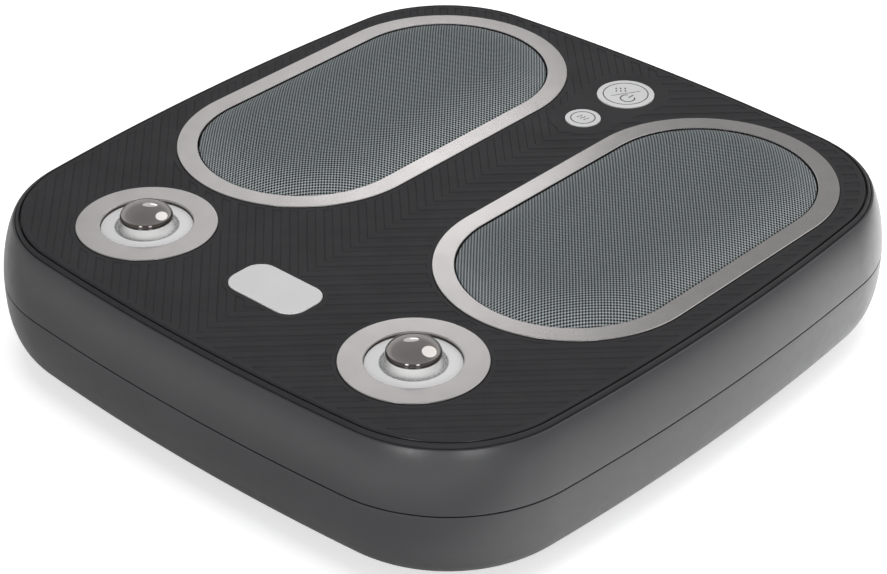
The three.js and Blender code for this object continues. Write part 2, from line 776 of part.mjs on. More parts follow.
// The pinion stands with a tooth towards each disc
function drivePinion() {
  const wheel = plate(gearShape(pinionTeeth, Math.PI / 2, true), discBottom, discTop);
  return combine(wheel, [post(pinionShaft, boxTop - shaftDepth, discBottom + overrun)], []);
}

const axle = () => turned([
  [0, frameBottom - axleBossDepth + gap],
  [axleRadius, frameBottom - axleBossDepth + gap],
  [axleRadius, discTop + gap],
  [axleHead, discTop + gap],
  [axleHead, discTop + gap + axleHeadHeight],
  [0, discTop + gap + axleHeadHeight],
], smallSteps);

function massageHead() {
  const rise = headTop - headBase;
  const headShares = [[0.92, 0], [1, 0.14], [0.86, 0.46], [0.6, 0.78], [0.3, 0.95]];
  return turned([
    [0, headBase],
    ...headShares.map(([across, up]) => [headRadius * across, headBase + rise * up]),
    [0, headTop],
  ], smallSteps - 2);
}

// A plate on four legs, with a blind boss for each axle
function driveFrame() {
  const sheet = plate(ringShape(bedPoints(frameEnd)), frameBottom, frameTop);
  const ends = [[0, -bedStraight / 2], [0, bedStraight / 2]];
  const bossBottom = frameBottom - axleBossDepth;
  const bossTopZ = frameTop + axleBossRise;
  const leg = post(legRadius, floorTop + gap, frameBottom + gap, smallSteps - 4);
  return combine(sheet, [
    ...copies(post(axleBoss, bossBottom - wall, bossTopZ), ends),
    ...copies(leg, fourCorners(legX, bedStraight / 2 + legBeyond)),
  ], [
    ...copies(post(axleRadius + gap, bossBottom, bossTopZ + overrun), ends),
    post(pinionShaft + gap, frameBottom - overrun, frameTop + overrun),
  ]);
}

function gearbox() {
  const box = block(boxWidth, boxDepth, boxTop - boxHeight, boxTop);
  const bore = post(pinionShaft + gap, boxTop - shaftDepth - gap, boxTop + overrun);
  return combine(box, [], [bore]);
}

// The motor lies along X, beside its gearbox. The way is 1 or -1.
function motor(way) {
  const axisZ = boxTop - boxHeight / 2;
  return turned([
    [0, 0],
    [motorRadius, 0],
    [motorRadius, motorLength],
    [motorNose, motorLength],
    [motorNose, motorLength + motorNoseLength],
    [0, motorLength + motorNoseLength],
  ], smallSteps + 2).rotateY((way * Math.PI) / 2).translate(way * (boxWidth / 2 + gap), 0, axisZ);
}

const model = new THREE.Group();

function place(parent, name, geometry, material, x = 0, y = 0) {
  const mesh = new THREE.Mesh(geometry, material);
  mesh.name = name;
  mesh.position.set(x, y, 0);
  parent.add(mesh);
}

place(model, 'lower_housing', lowerHousing(), materials.housing);
place(model, 'upper_housing', upperHousing(), materials.housing);
place(model, 'top_rim', topRim(), materials.rim);
place(model, 'top_panel', topPanel(), materials.panel);
place(model, 'power_button', button(powerRadius), materials.button, 0, powerY);
place(model, 'heat_button', button(heatRadius), materials.button, 0, heatY);
place(model, 'badge_plate', badgePlate(), materials.button, 0, plateY);
place(model, 'dc_socket', dcSocket(), materials.black);
place(model, 'control_board', controlBoard(), materials.board);
place(model, 'power_switch', pushSwitch(), materials.black, 0, powerY);
place(model, 'heat_switch', pushSwitch(), materials.black, 0, heatY);
place(model, 'wire_harness', wireHarness(), materials.black);

feetPlaces.forEach(([x, y], index) => {
  place(model, `rubber_foot_${index + 1}`, rubberFoot(), materials.rubber, x, y);
  place(model, `housing_screw_${index + 1}`, housingScrew(), materials.steel, x, y);
});

['left', 'right'].forEach((side, index) => {
  const bed = new THREE.Group();
  bed.position.set(bedPlaces[index][0], bedCentreY, 0);
  place(bed, `${side}_window_trim`, bedTrim(), materials.silver);
  place(bed, `${side}_mesh_cover`, meshCover(), materials.mesh);
  place(bed, `${side}_heater_film`, heaterFilm(), materials.film);
  place(bed, `${side}_drive_frame`, driveFrame(), materials.frame);
  place(bed, `${side}_gearbox`, gearbox(), materials.nylon);
  place(bed, `${side}_motor`, motor(1 - 2 * index), materials.steel);
  place(bed, `${side}_drive_pinion`, drivePinion(), materials.steel);
  [['front', -1], ['rear', 1]].forEach(([end, sign]) => {
    const axleY = (sign * bedStraight) / 2;
    place(bed, `${side}_${end}_kneading_disc`, kneadingDisc(), materials.nylon, 0, axleY);
    place(bed, `${side}_${end}_axle`, axle(), materials.steel, 0, axleY);
    for (let i = 0; i < headsPerDisc; i += 1) {
      const angle = (sign * Math.PI) / 2 + (2 * Math.PI * i) / headsPerDisc;
      const x = headOrbit * Math.cos(angle);
      const y = axleY + headOrbit * Math.sin(angle);
      place(bed, `${side}_${end}_head_${i + 1}`, massageHead(), materials.head, x, y);
    }
  });
  model.add(bed);

  const stud = new THREE.Group();
  stud.position.set(studPlaces[index][0], studY, 0);
  place(stud, `${side}_stud_trim`, studTrim(), materials.silver);
  place(stud, `${side}_stud_dish`, studDish(), materials.white);
  place(stud, `${side}_stud_cap`, studCap(), materials.chrome);
  model.add(stud);
});

export default model;
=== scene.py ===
"""The looks of a foot massager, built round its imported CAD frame.

Metres, +Z up, the same frame as the CAD model. Every piece stands at the origin with its place in
its mesh, so that object texture coordinates are places on the product.
"""
import json
import math
import bmesh
import bpy
import numpy as np
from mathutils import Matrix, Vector


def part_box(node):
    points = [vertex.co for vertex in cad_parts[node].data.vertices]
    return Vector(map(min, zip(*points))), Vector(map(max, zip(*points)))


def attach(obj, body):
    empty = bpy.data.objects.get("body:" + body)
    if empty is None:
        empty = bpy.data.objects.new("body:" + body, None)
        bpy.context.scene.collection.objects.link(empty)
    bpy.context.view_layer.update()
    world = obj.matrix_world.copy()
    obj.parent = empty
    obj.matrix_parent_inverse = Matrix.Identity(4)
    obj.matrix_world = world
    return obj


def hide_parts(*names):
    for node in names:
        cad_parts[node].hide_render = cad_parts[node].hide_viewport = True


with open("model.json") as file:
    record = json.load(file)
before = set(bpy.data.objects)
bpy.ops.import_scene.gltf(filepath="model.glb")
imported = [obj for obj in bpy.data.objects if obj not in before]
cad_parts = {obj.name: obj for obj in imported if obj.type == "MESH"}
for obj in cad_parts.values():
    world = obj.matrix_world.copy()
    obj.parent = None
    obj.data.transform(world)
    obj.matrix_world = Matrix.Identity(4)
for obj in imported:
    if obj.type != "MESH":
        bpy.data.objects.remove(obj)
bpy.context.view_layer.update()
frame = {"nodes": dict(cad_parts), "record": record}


def half_width(node):
    low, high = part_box(node)
    return (high.x - low.x) / 2


def heights(node):
    return [corner.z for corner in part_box(node)]


def spot(node):
    """The middle of a node in plan."""
    low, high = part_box(node)
    return (low.x + high.x) / 2, (low.y + high.y) / 2


# Fits
GAP = 0.0003  # between pieces that touch
OVERRUN = 0.001  # how far a cut goes past the face that it cuts

# Heights and sizes that the frame gives
TRIM_TOP = heights("left_window_trim")[1]
LIP_TOP = heights("upper_housing")[1]
PANEL_BOTTOM, PANEL_TOP = heights("top_panel")
UNDERSIDE, SEAM_BOTTOM = heights("lower_housing")
RIM_BOTTOM, RIM_CREST = heights("top_rim")
COVER_BASE, COVER_CROWN = heights("left_mesh_cover")
STEM_BOTTOM, STEM_TOP = heights("left_stud_dish")
CAP_BOTTOM, CAP_TOP = heights("left_stud_cap")

# Body
RIM_WIDTH = 0.0021
HALF_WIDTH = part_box("top_rim")[1].x - RIM_WIDTH
HALF_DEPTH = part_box("top_rim")[1].y - RIM_WIDTH
WALL_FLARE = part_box("lower_housing")[1].x - HALF_WIDTH
SIDE_RADIUS = 1.334
END_RADIUS = 1.316
CORNER_RADIUS = 0.068
SEAM_GAP = 0.0006
SEAM_LAND = 0.001  # flat lower edge of the upper wall
UNDERSIDE_INSET = 0.0173
FLOOR_EDGE_INSET = 0.0027
WALL = 0.0025
WALL_START = 0.0011  # upper end of the wall's curve, out from the panel line
WALL_START_DROP = 0.0009  # top of the trims to that end
UPPER_BULGE = 1.62  # exponents of the wall's curve above and below the seam
LOWER_BULGE = 2.69
SEAM_ROUND = 0.00035
LIP_ROUND = 0.0004
TONGUE_GAP = 0.0004
TONGUE_WALL = 0.0013
TONGUE_HEIGHT = 0.0016
DECK = 0.0025
BEAD_START_DROP = 0.0002  # lip to the start of the bead's curve
BEAD = [(0.0017, 0.45), (0.0012, 0.82), (0.0006, 1), (0.0002, 0.84), (0, 0.5)]  # offset, rise

# Screw wells and feet
WELL_RADIUS = half_width("housing_screw_1") + 0.0008
SCREW_SEAT = heights("housing_screw_1")[0] + 0.0029
SCREW_BORE = 0.0022
BOSS_WALL = 0.0022
BOSS_TOP = 0.040
FOOT_BEVEL = 0.0014
FOOT_ROUND = 0.0006
SOLE_GROOVES = (0.4, 0.65)  # shares of the foot's radius
SOLE_GROOVE_DEPTH = 0.0004
SOLE_GROOVE_WIDTH = 0.0006  # half the width at the sole

# Power inlet
INLET_WIDTH = 0.016  # opening of the recess
INLET_HEIGHT = 0.013
INLET_CORNER = 0.0012
INLET_BLOCK_CORNER = 0.002
INLET_BLOCK_DEPTH = 0.006  # how far the block goes behind the recess
INLET_BLOCK_SHY = 0.003  # how far it stays inside the wall's widest line
JACK_DEPTH = 0.008
JACK_HOLE_CORNER = 0.0003
JACK_CORNER = 0.0006
JACK_BORE = [(0.0032, 0.36), (0.0032, 0.94), (0.0038, 1.0)]  # radius, share of the way out
JACK_PIN = [(0.001, 0.3), (0.001, 0.94), (0.0006, 0.98)]

# Panel
PANEL_GAP = 0.0006
PANEL_CHAMFER = 0.0005  # at the panel's lower edge
PANEL_ROUND = 0.0014  # rounding of the panel's upper edge
SEAT_ROUND = 0.00025
TRIM_LEDGE = 0.004  # panel left under the trims' outer edge
CHEVRON_PITCH = 0.01229  # between two grooves, along Y
CHEVRON_WIDTH = 0.0062  # one groove, along Y
CHEVRON_START = -0.0709  # Y of one groove's far wall on the middle line
CHEVRON_DEPTH = 0.0004
CHEVRON_LEAN = 0.00045  # how far a groove's walls lean, along Y
CHEVRON_RUNOUT = 0.00045  # length over which a groove's end rises to the panel's face
SCORE_WIDTH = 0.0006  # fine score beside a groove's near wall, along Y
SCORE_DEPTH = 0.00022
CHEVRON_MARGIN = 0.0033  # groove's end to the panel's edge
CHEVRON_CLEARANCE = 0.0025  # groove's end to trims, plate and buttons
EGG_POWER_RADIUS = 0.0212  # smooth dished zone round the two buttons
EGG_HEAT_RADIUS = 0.0153
EGG_DEPTH = 0.0003
EGG_SLOPE = 0.0009

# Beds
BED_STRAIGHT = 0.110
TRIM_WIDTH = 0.011
TRIM_THICKNESS = 0.0019
TRIM_BEVEL = 0.00035
SKIRT_WALL = 0.0025
TRIM_OUTER = half_width("left_window_trim")
TRIM_INNER = TRIM_OUTER - TRIM_WIDTH
COVER_OUTER = half_width("left_mesh_cover")
COVER_EDGE_INSET = 0.0009
COVER_EDGE = 0.0018
COVER_ROUND = 0.0005
COVER_SHOULDER_DROP = 0.0008
COVER_RISE_SHARE = 0.55  # share of the half width over which the cover rises
MESH_CELL_X = 0.00199  # the mesh's holes stand at the corners and the middle of such cells
MESH_CELL_Y = 0.00231

# Studs
STUD_TRIM_OUTER = half_width("left_stud_trim")
STUD_TRIM_WIDTH = 0.0124
STUD_TRIM_INNER = STUD_TRIM_OUTER - STUD_TRIM_WIDTH
STUD_SKIRT_BOTTOM = heights("left_stud_trim")[0]
STUD_SKIRT_WALL = 0.0015
DISH_BOTTOM = TRIM_TOP - 0.0098
DISH_BODY = STUD_TRIM_INNER + 0.0028
DISH_FLANGE = 0.001
STEM_RADIUS = 0.0116
STEM_BORE = 0.004
STEM_CHAMFER = 0.0003
BOWL_DROP = 0.002  # trims' top to the dish's outer border
LIP_RADIUS = 0.0164  # raised lip round the groove
LIP_DROP = 0.0012
GROOVE_RADIUS = STEM_RADIUS + 0.0028
GROOVE_DROP = 0.0031
CAP_RADIUS = half_width("left_stud_cap")
CAP_LAND = 0.0003
CAP_REFLECTION_BAND = 0.0031  # height of the painted reflection, a dark band round the cap's lower edge

# Buttons and badge plate
POWER_RADIUS = 0.0158
HEAT_RADIUS = 0.0097
POWER_RING = 0.0123  # radius of the ring engraved in the button
HEAT_RING = 0.0066
BUTTON_STEM = 0.003
BUTTON_FLANGE = 0.0016
BUTTON_ROUND = 0.0004
ENGRAVING = 0.00018
STROKE = 0.0005  # width of an engraved line
BOLD = 0.0008
PLATE_CORNER = 0.010
PLATE_ROUND = 0.0004

# Sizes of the changes in a material
SHADE_SIZE = 0.03  # in the shade of plastic
METAL_SIZE = 0.012  # in the shade of metal and paint
GLOSS_SIZE = 0.006
STREAK_SIZE = 0.0009
TRACK_PITCH = 0.00254  # between two tracks of the circuit board

# Numbers of the Mix node's colour sockets
COLOUR_A, COLOUR_B = 6, 7
COLOUR_OUT = 2

# Light
SKY = [(-1, 0.45), (1, 0.22), (0.0, 0.42), (0.25, 0.42), (0.5, 0.27)]  # height (-1 to 1), level
FLOOR_REACH = 9
FLOOR_GLOW = 0.55  # added to the floor where the camera sees it
FLOOR_LIGHT_POOL = [(-0.2, 0.0), (-0.1, 0.3), (0.05, 0.52), (0.25, 1.45)]  # Y, and the painted light that gloss sees added to the floor there
LIGHT_POOL_REACH = (1.4, 0.7, 0)  # how distances along X and Y count as the painted light fades
LIGHT_POOL_FADE = (0.32, 0.56)  # distances from the middle, so counted, between which the painted light fades away
FLOOR_SHADE = (-0.14, -0.22, -0.27, -0.34)  # Y at which gloss sees painted shade darken the floor, and lighten again
FLOOR_DARK = 0.5  # share of its colour that the painted shade takes there
FLOOR_LIGHTER = 0.3  # share of that loss which is left farther out
LAMPS = (  # name, azimuth from +X, elevation, distance, width, height, radiance, shown in gloss
    ("key", 66, 48, 2.0, 1.7, 1.7, 1.05, True),
    ("key_soft", 66, 48, 2.0, 1.7, 1.7, 0.95, False),
    ("fill", 0, 89, 2.2, 1.6, 1.6, 3.9, False),
    ("front", -48, 12, 2.5, 1.6, 0.8, 6.0, False),
    ("back", 137, 34, 2.5, 0.84, 0.8, 0.55, True),
    ("streak", 132.5, 32, 2.0, 0.35, 0.12, 2.0, True),
    ("side_a", -32, 21, 2.0, 0.45, 0.5, 4.2, True),
    ("side_b", -72, 21, 2.0, 0.45, 0.5, 5.0, True),
)

# The photograph's view
CAMERA_TARGET = (0.05990, -0.06825, TRIM_TOP)
CAMERA_AZIMUTH = -47.6915  # from +X
CAMERA_ELEVATION = 32.3678
CAMERA_DISTANCE = 1.28714
CAMERA_LENS = 107.45  # on a sensor 36 wide

# How many steps stand for a curve
SIDE_STEPS = 28
CORNER_STEPS = 44
STADIUM_STEPS = 72
ROUND_STEPS = 128
WALL_STEPS = 26
CROWN_STEPS = 44
DOME_STEPS = 40


# Outlines in plan, as arrays of points that run anticlockwise


def arc(centre, radius, start, end, steps, last=False):
    angles = np.linspace(start, end, steps + last, endpoint=last)
    return np.asarray(centre) + radius * np.stack([np.cos(angles), np.sin(angles)], 1)


def body_outline(offset):
    """The body's outline, moved out from the panel line by an offset. The sides and the ends are
    long arcs, and each corner is an arc that runs on smoothly from both."""
    side = np.array([HALF_WIDTH - SIDE_RADIUS, 0])
    end = np.array([0, HALF_DEPTH - END_RADIUS])
    to_side = SIDE_RADIUS - CORNER_RADIUS
    to_end = END_RADIUS - CORNER_RADIUS
    span = np.linalg.norm(end - side)
    unit = (end - side) / span
    along = (to_side**2 - to_end**2 + span**2) / (2 * span)
    across = math.sqrt(to_side**2 - along**2)
    corner = side + along * unit + across * np.array([-unit[1], unit[0]])
    side_angle = math.atan2(corner[1] - side[1], corner[0] - side[0])
    end_angle = math.atan2(corner[1] - end[1], corner[0] - end[0])
    quarter = np.concatenate([
        arc(side, SIDE_RADIUS + offset, 0, side_angle, SIDE_STEPS),
        arc(corner, CORNER_RADIUS + offset, side_angle, end_angle, CORNER_STEPS),
        arc(end, END_RADIUS + offset, end_angle, math.pi / 2, SIDE_STEPS),
    ])
    middle = np.array([[0, HALF_DEPTH + offset]])
    half = np.concatenate([quarter, middle, quarter[::-1] * (-1, 1)])
    return np.concatenate([half[:-1], -half[:-1]])


def stadium(radius):
    """Two half circles joined by straight sides along Y, about the middle of a bed."""
    half = arc((0, BED_STRAIGHT / 2), radius, 0, math.pi, STADIUM_STEPS, last=True)
    sides = np.linspace(BED_STRAIGHT / 2, -BED_STRAIGHT / 2, STADIUM_STEPS // 2 + 1)[1:-1]
    down = np.stack([np.full(len(sides), -radius), sides], 1)
    upper = np.concatenate([half, down])
    return np.concatenate([upper, -upper])


def ring(radius):
    return arc((0, 0), radius, 0, 2 * math.pi, ROUND_STEPS)


def egg_outline(grow):
    """The hull of two circles, one round each button."""
    near, far = spot("heat_button")[1], spot("power_button")[1]
    lean = math.asin((EGG_POWER_RADIUS - EGG_HEAT_RADIUS) / (far - near))
    start, end = math.pi - lean, 2 * math.pi + lean
    front = arc((0, near), EGG_HEAT_RADIUS + grow, start, end, steps=48, last=True)
    back = arc((0, far), EGG_POWER_RADIUS + grow, lean, start, steps=60, last=True)
    return np.concatenate([front, back])


def rounded_box(half_x, half_y, radius, grow=0, steps=14):
    corners = []
    x, y = half_x - radius, half_y - radius
    for quarter, (sx, sy) in enumerate([(1, 1), (-1, 1), (-1, -1), (1, -1)]):
        start = quarter * math.pi / 2
        centre = (sx * x, sy * y)
        corners.append(arc(centre, radius + grow, start, start + math.pi / 2, steps, last=True))
    return np.concatenate(corners)


def plate_outline(grow):
    low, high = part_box("badge_plate")
    return rounded_box((high.x - low.x) / 2, (high.y - low.y) / 2, PLATE_CORNER, grow)


def beds_and_studs(bed_radius, stud_radius):
    """Outline, size and place of what goes round each bed and each stud."""
    for side in ("left", "right"):
        yield stadium, bed_radius, spot(f"{side}_window_trim")
        yield ring, stud_radius, spot(f"{side}_stud_trim")


# Sections, as lists of (offset or radius, height)


def rounded(corners, steps=6, closed=False):
    """A line through corners (u, v) or (u, v, radius), with arcs at those that have a radius."""
    line = []
    for i, (u, v, *radius) in enumerate(corners):
        here = np.array([u, v])
        if not radius or (not closed and i in (0, len(corners) - 1)):
            line.append((u, v))
            continue
        before = np.array(corners[i - 1][:2]) - here
        after = np.array(corners[(i + 1) % len(corners)][:2]) - here
        before /= np.linalg.norm(before)
        after /= np.linalg.norm(after)
        half = math.acos(np.clip(before @ after, -1, 1)) / 2
        middle = (before + after) / np.linalg.norm(before + after)
        centre = here + middle * radius[0] / math.sin(half)
        first = here + before * radius[0] / math.tan(half) - centre
        last = here + after * radius[0] / math.tan(half) - centre
        turn = math.atan2(first[0] * last[1] - first[1] * last[0], first @ last)
        for angle in np.linspace(0, turn, steps + 1):
            c, s = math.cos(angle), math.sin(angle)
            line.append(tuple(centre + (c * first[0] - s * first[1], s * first[0] + c * first[1])))
    return line


def flowing(points, steps):
    """A smooth line through points, as a Catmull-Rom curve."""
    inner = np.array(points, float)
    p = np.array([2 * inner[0] - inner[1], *inner, 2 * inner[-1] - inner[-2]])
    line = []
    for i in range(1, len(p) - 2):
        for t in np.linspace(0, 1, steps, endpoint=False):
            a = 2 * p[i]
            b = p[i + 1] - p[i - 1]
            c = 2 * p[i - 1] - 5 * p[i] + 4 * p[i + 1] - p[i + 2]
            d = 3 * p[i] - p[i - 1] - 3 * p[i + 1] + p[i + 2]
            line.append(tuple((a + b * t + c * t**2 + d * t**3) / 2))
    return line + [tuple(p[-2])]


def wall_line(narrow, wide, narrow_z, wide_z, power, first_z=None):
    """The wall's curve from its narrow end, or from first_z, to the widest line."""
    levels = []
    for angle in np.linspace(0, math.pi / 2, WALL_STEPS + 1):
        z = wide_z + (narrow_z - wide_z) * math.cos(angle) ** (2 / power)
        if first_z is None or abs(z - wide_z) < abs(first_z - wide_z):
            levels.append(z)
    if first_z is not None:
        levels.insert(0, first_z)
    line = []
    for z in levels:
        share = min(abs((wide_z - z) / (wide_z - narrow_z)), 1)
        line.append((narrow + (wide - narrow) * (1 - share**power) ** (1 / power), z))
    return line


# Meshes


def placed(name, data):
    made = bpy.data.objects.new(name, data)
    bpy.context.scene.collection.objects.link(made)
    return made


def close_up(mesh):
    """Merges points that coincide, and turns the faces outward."""
    edit = bmesh.new()
    edit.from_mesh(mesh)
    bmesh.ops.remove_doubles(edit, verts=edit.verts, dist=1e-7)
    bmesh.ops.recalc_face_normals(edit, faces=edit.faces)
    edit.to_mesh(mesh)
    edit.free()


def mesh_object(name, points, faces):
    mesh = bpy.data.meshes.new(name)
    mesh.from_pydata([tuple(p) for p in points], [], faces)
    close_up(mesh)
    return placed(name, mesh)


def swept(name, section, outline, at=(0, 0), closed=False):
    """A closed solid: the outline at each of the section's offsets and heights. It ends in flat
    caps, or closes on itself where the section does."""
    rings = [outline(offset) + np.array(at) for offset, _ in section]
    count = len(rings[0])
    points = [(x, y, z) for points, (_, z) in zip(rings, section) for x, y in points]
    faces = []
    for band in range(len(rings) if closed else len(rings) - 1):
        low, high = band * count, (band + 1) % len(rings) * count
        for i in range(count):
            j = (i + 1) % count
            faces.append((low + i, low + j, high + j, high + i))
    if not closed:
        last = (len(rings) - 1) * count
        if section[0][0] != 0 or outline is not ring:
            faces.append(tuple(range(count - 1, -1, -1)))
        if section[-1][0] != 0 or outline is not ring:
            faces.append(tuple(range(last, last + count)))
    return mesh_object(name, points, faces)


def prism(name, outline, bottom, top, at=(0, 0)):
    return swept(name, [(0, bottom), (0, top)], lambda _: outline, at)


def lay_down(piece, front, back, middle):
    """Turns a solid that stands along Z between 0 and 1 so that it lies along Y."""
    for vertex in piece.data.vertices:
        x, z, share = vertex.co
        vertex.co = (x, front + share * (back - front), middle + z)
    close_up(piece.data)


def settle(piece):
    """Applies the piece's modifiers."""
    graph = bpy.context.evaluated_depsgraph_get()
    mesh = bpy.data.meshes.new_from_object(piece.evaluated_get(graph), depsgraph=graph)
    piece.modifiers.clear()
    piece.data = mesh


def joined(name, pieces):
    """One object from several that lie apart."""
    edit = bmesh.new()
    for piece in pieces:
        edit.from_mesh(piece.data)
        bpy.data.objects.remove(piece)
    mesh = bpy.data.meshes.new(name)
    edit.to_mesh(mesh)
    edit.free()
    return placed(name, mesh)


def boolean(piece, tool, operation):
    change = piece.modifiers.new("change", "BOOLEAN")
    change.operation = operation
    change.solver = "EXACT"
    change.object = tool
    settle(piece)
    bpy.data.objects.remove(tool)


def cut(piece, *tools):
    boolean(piece, joined("cutter", tools), "DIFFERENCE")


def smooth(piece, angle=32, weighted=True):
    """Smooth shading with sharp edges past an angle. Weighted normals keep flat faces flat."""
    mesh = piece.data
    mesh.shade_smooth()
    mesh.set_sharp_from_angle(angle=math.radians(angle))
    if weighted:
        change = piece.modifiers.new("normals", "WEIGHTED_NORMAL")
        change.keep_sharp = True
        settle(piece)
    return piece


# Materials


def linear(red, green, blue):
    """A colour given as it shows on a screen, 0 to 255, as the shader's linear colour."""
    shares = [value / 255 for value in (red, green, blue)]
    return tuple(s / 12.92 if s <= 0.04045 else ((s + 0.055) / 1.055) ** 2.4 for s in shares) + (1,)


class Nodes:
    """The nodes of a material or a world, which work on a place or a direction."""

    def __init__(self, owner, coordinates):
        owner.use_nodes = True
        self.tree = owner.node_tree
        self.place = self.node("TexCoord").outputs[coordinates]

    def link(self, source, target):
        self.tree.links.new(source, target)

    def node(self, kind, sockets={}, **settings):
        """A new node. A socket is named or numbered, and gets a value or another's output."""
        made = self.tree.nodes.new("ShaderNode" + kind)
        for key, value in settings.items():
            setattr(made, key, value)
        for key, value in sockets.items():
            if isinstance(value, bpy.types.NodeSocket):
                self.link(value, made.inputs[key])
            else:
                made.inputs[key].default_value = value
        return made

    def axes(self):
        return self.node("SeparateXYZ", {"Vector": self.place}).outputs

    def noise(self, size, detail=2.0, stretch=(1, 1, 1)):
        """Noise whose features are about that size, in metres."""
        place = self.node("Mapping", {"Vector": self.place, "Scale": stretch}).outputs["Vector"]
        sockets = {"Vector": place, "Scale": 1 / size, "Detail": detail}
        return self.node("TexNoise", sockets).outputs["Fac"]

    def spread(self, value, low, high, start=0.3, end=0.7):
        """Maps a value from start to end on to low to high."""
        sockets = {"Value": value, "From Min": start, "From Max": end,
                   "To Min": low, "To Max": high}
        return self.node("MapRange", sockets).outputs["Result"]

    def uneven(self, size, low, high, detail=2.0, stretch=(1, 1, 1)):
        """A value that wanders between two, with changes of about that size."""
        return self.spread(self.noise(size, detail, stretch), low, high)

    def below(self, level, blend):
        """1 below a height and 0 above it, with a soft step."""
        return self.spread(self.axes()["Z"], 1, 0, level - blend, level)

    def math(self, operation, *values):
        sockets = dict(enumerate(values))
        return self.node("Math", sockets, operation=operation).outputs["Value"]

    def times(self, first, second):
        return self.math("MULTIPLY", first, second)

    def wave(self, axis, pitch):
        return self.math("COSINE", self.times(axis, 2 * math.pi / pitch))

    def mixed(self, factor, first, second):
        """A colour between two, each a colour or a socket."""
        sockets = {"Factor": factor, COLOUR_A: first, COLOUR_B: second}
        return self.node("Mix", sockets, data_type="RGBA").outputs[COLOUR_OUT]

    def shades(self, size, dark, light, detail=2.0):
        """A colour that wanders between two, with changes of about that size."""
        return self.mixed(self.uneven(size, 0, 1, detail), linear(*dark), linear(*light))


class Finish(Nodes):
    """A Principled material and the nodes that vary it by the place on the product."""

    def __init__(self, name, **sockets):
        self.material = bpy.data.materials.new(name)
        super().__init__(self.material, "Object")
        self.shader = self.tree.nodes["Principled BSDF"]
        for socket, value in sockets.items():
            self.shader.inputs[socket.replace("_", " ")].default_value = value

    def bump(self, height, distance, strength=1.0):
        bump = self.node("Bump", {"Height": height, "Distance": distance, "Strength": strength})
        self.link(bump.outputs["Normal"], self.shader.inputs["Normal"])

    def colour(self, socket):
        self.link(socket, self.shader.inputs["Base Color"])

    def roughness(self, socket):
        self.link(socket, self.shader.inputs["Roughness"])


def moulded(name, dark, light, rough, grain, relief, **sockets):
    """Moulded plastic: a fine grain, and slow changes of shade and gloss."""
    made = Finish(name, **sockets)
    made.colour(made.shades(SHADE_SIZE, dark, light))
    made.roughness(made.uneven(GLOSS_SIZE, *rough, detail=3))
    made.bump(made.noise(grain, 3), relief)
    return made.material


def brushed(name, dark, light, rough, metallic, stretch):
    """Metal or metal film: fine streaks and small changes of gloss."""
    made = Finish(name, Metallic=metallic)
    made.colour(made.shades(METAL_SIZE, dark, light))
    made.roughness(made.uneven(STREAK_SIZE, *rough, detail=4, stretch=stretch))
    made.bump(made.noise(0.0003, stretch=stretch), 0.000004)
    return made.material


def speckled(name, dark, light, rough, size):
    """Rubber or wire insulation: matt, with a fine speckle."""
    made = Finish(name)
    made.colour(made.shades(size, dark, light, 4))
    made.roughness(made.uneven(size * 4, *rough))
    made.bump(made.noise(size, 4), size / 12)
    return made.material


def mesh_fabric():
    """A knitted spacer mesh: staggered round holes between yarns, with painted shade toward the
    crown.
    """
    made = Finish("spacer_mesh", Specular_IOR_Level=0.12)
    x, y, z = made.axes()
    yarn = made.times(made.wave(x, MESH_CELL_X), made.wave(y, MESH_CELL_Y))
    hole = made.spread(yarn, 0, 1, -0.02, 0.12)
    slack = made.noise(0.0012)
    yarns = made.mixed(made.spread(slack, 0, 1), linear(140, 147, 149), linear(164, 170, 172))
    # painted shade: the yarns turn darker toward the crown
    crown = made.spread(z, 0, 0.45, TRIM_TOP + 0.0005, COVER_CROWN)
    shade = made.mixed(crown, yarns, linear(94, 101, 103))
    made.colour(made.mixed(hole, shade, linear(3, 4, 4)))
    made.roughness(made.spread(slack, 0.62, 0.82))
    height = made.math("SUBTRACT", made.spread(yarn, 1, 0, -0.3, 0.4), made.times(slack, 0.15))
    made.bump(height, 0.0003, 0.6)
    return made.material


def trim_paint():
    """Satin silver paint, with painted shade down the trims' inner walls."""
    made = Finish("silver_trim", Metallic=0.85)
    face = made.shades(METAL_SIZE, (194, 191, 190), (200, 197, 196))
    # painted shade: below the top bevel the inner walls turn dark brown
    made.colour(made.mixed(made.below(TRIM_TOP - 0.0004, 0.0005), face, linear(86, 80, 76)))
    made.roughness(made.uneven(0.02, 0.2, 0.215))
    return made.material


def chrome():
    """Polished metal of the studs' caps, with a painted reflection: a dark band round the lower
    edge.
    """
    made = Finish("stud_chrome", Metallic=1.0)
    face = made.shades(METAL_SIZE, (206, 201, 198), (214, 209, 206))
    # painted reflection: a dark band round the cap's lower edge, for the dark panel mirrored there
    made.colour(made.mixed(made.below(STEM_TOP + CAP_REFLECTION_BAND, 0.0004), face, linear(112, 107, 104)))
    made.roughness(made.uneven(STREAK_SIZE, 0.05, 0.08, detail=4))
    made.bump(made.noise(0.0003), 0.0000005)
    return made.material


def panel_plastic():
    """Matt moulded plastic, glossier on the rounding at the panel's edge."""
    made = Finish("panel_plastic", IOR=1.45)
    made.colour(made.shades(SHADE_SIZE, (39, 39, 41), (44, 44, 46)))
    matt = made.uneven(GLOSS_SIZE, 0.58, 0.64, detail=3)
    edge = made.below(PANEL_TOP - 0.0006, 0.0001)
    made.roughness(made.math("SUBTRACT", matt, made.times(edge, 0.42)))
    made.bump(made.noise(0.0007, 3), 0.00002)
    return made.material


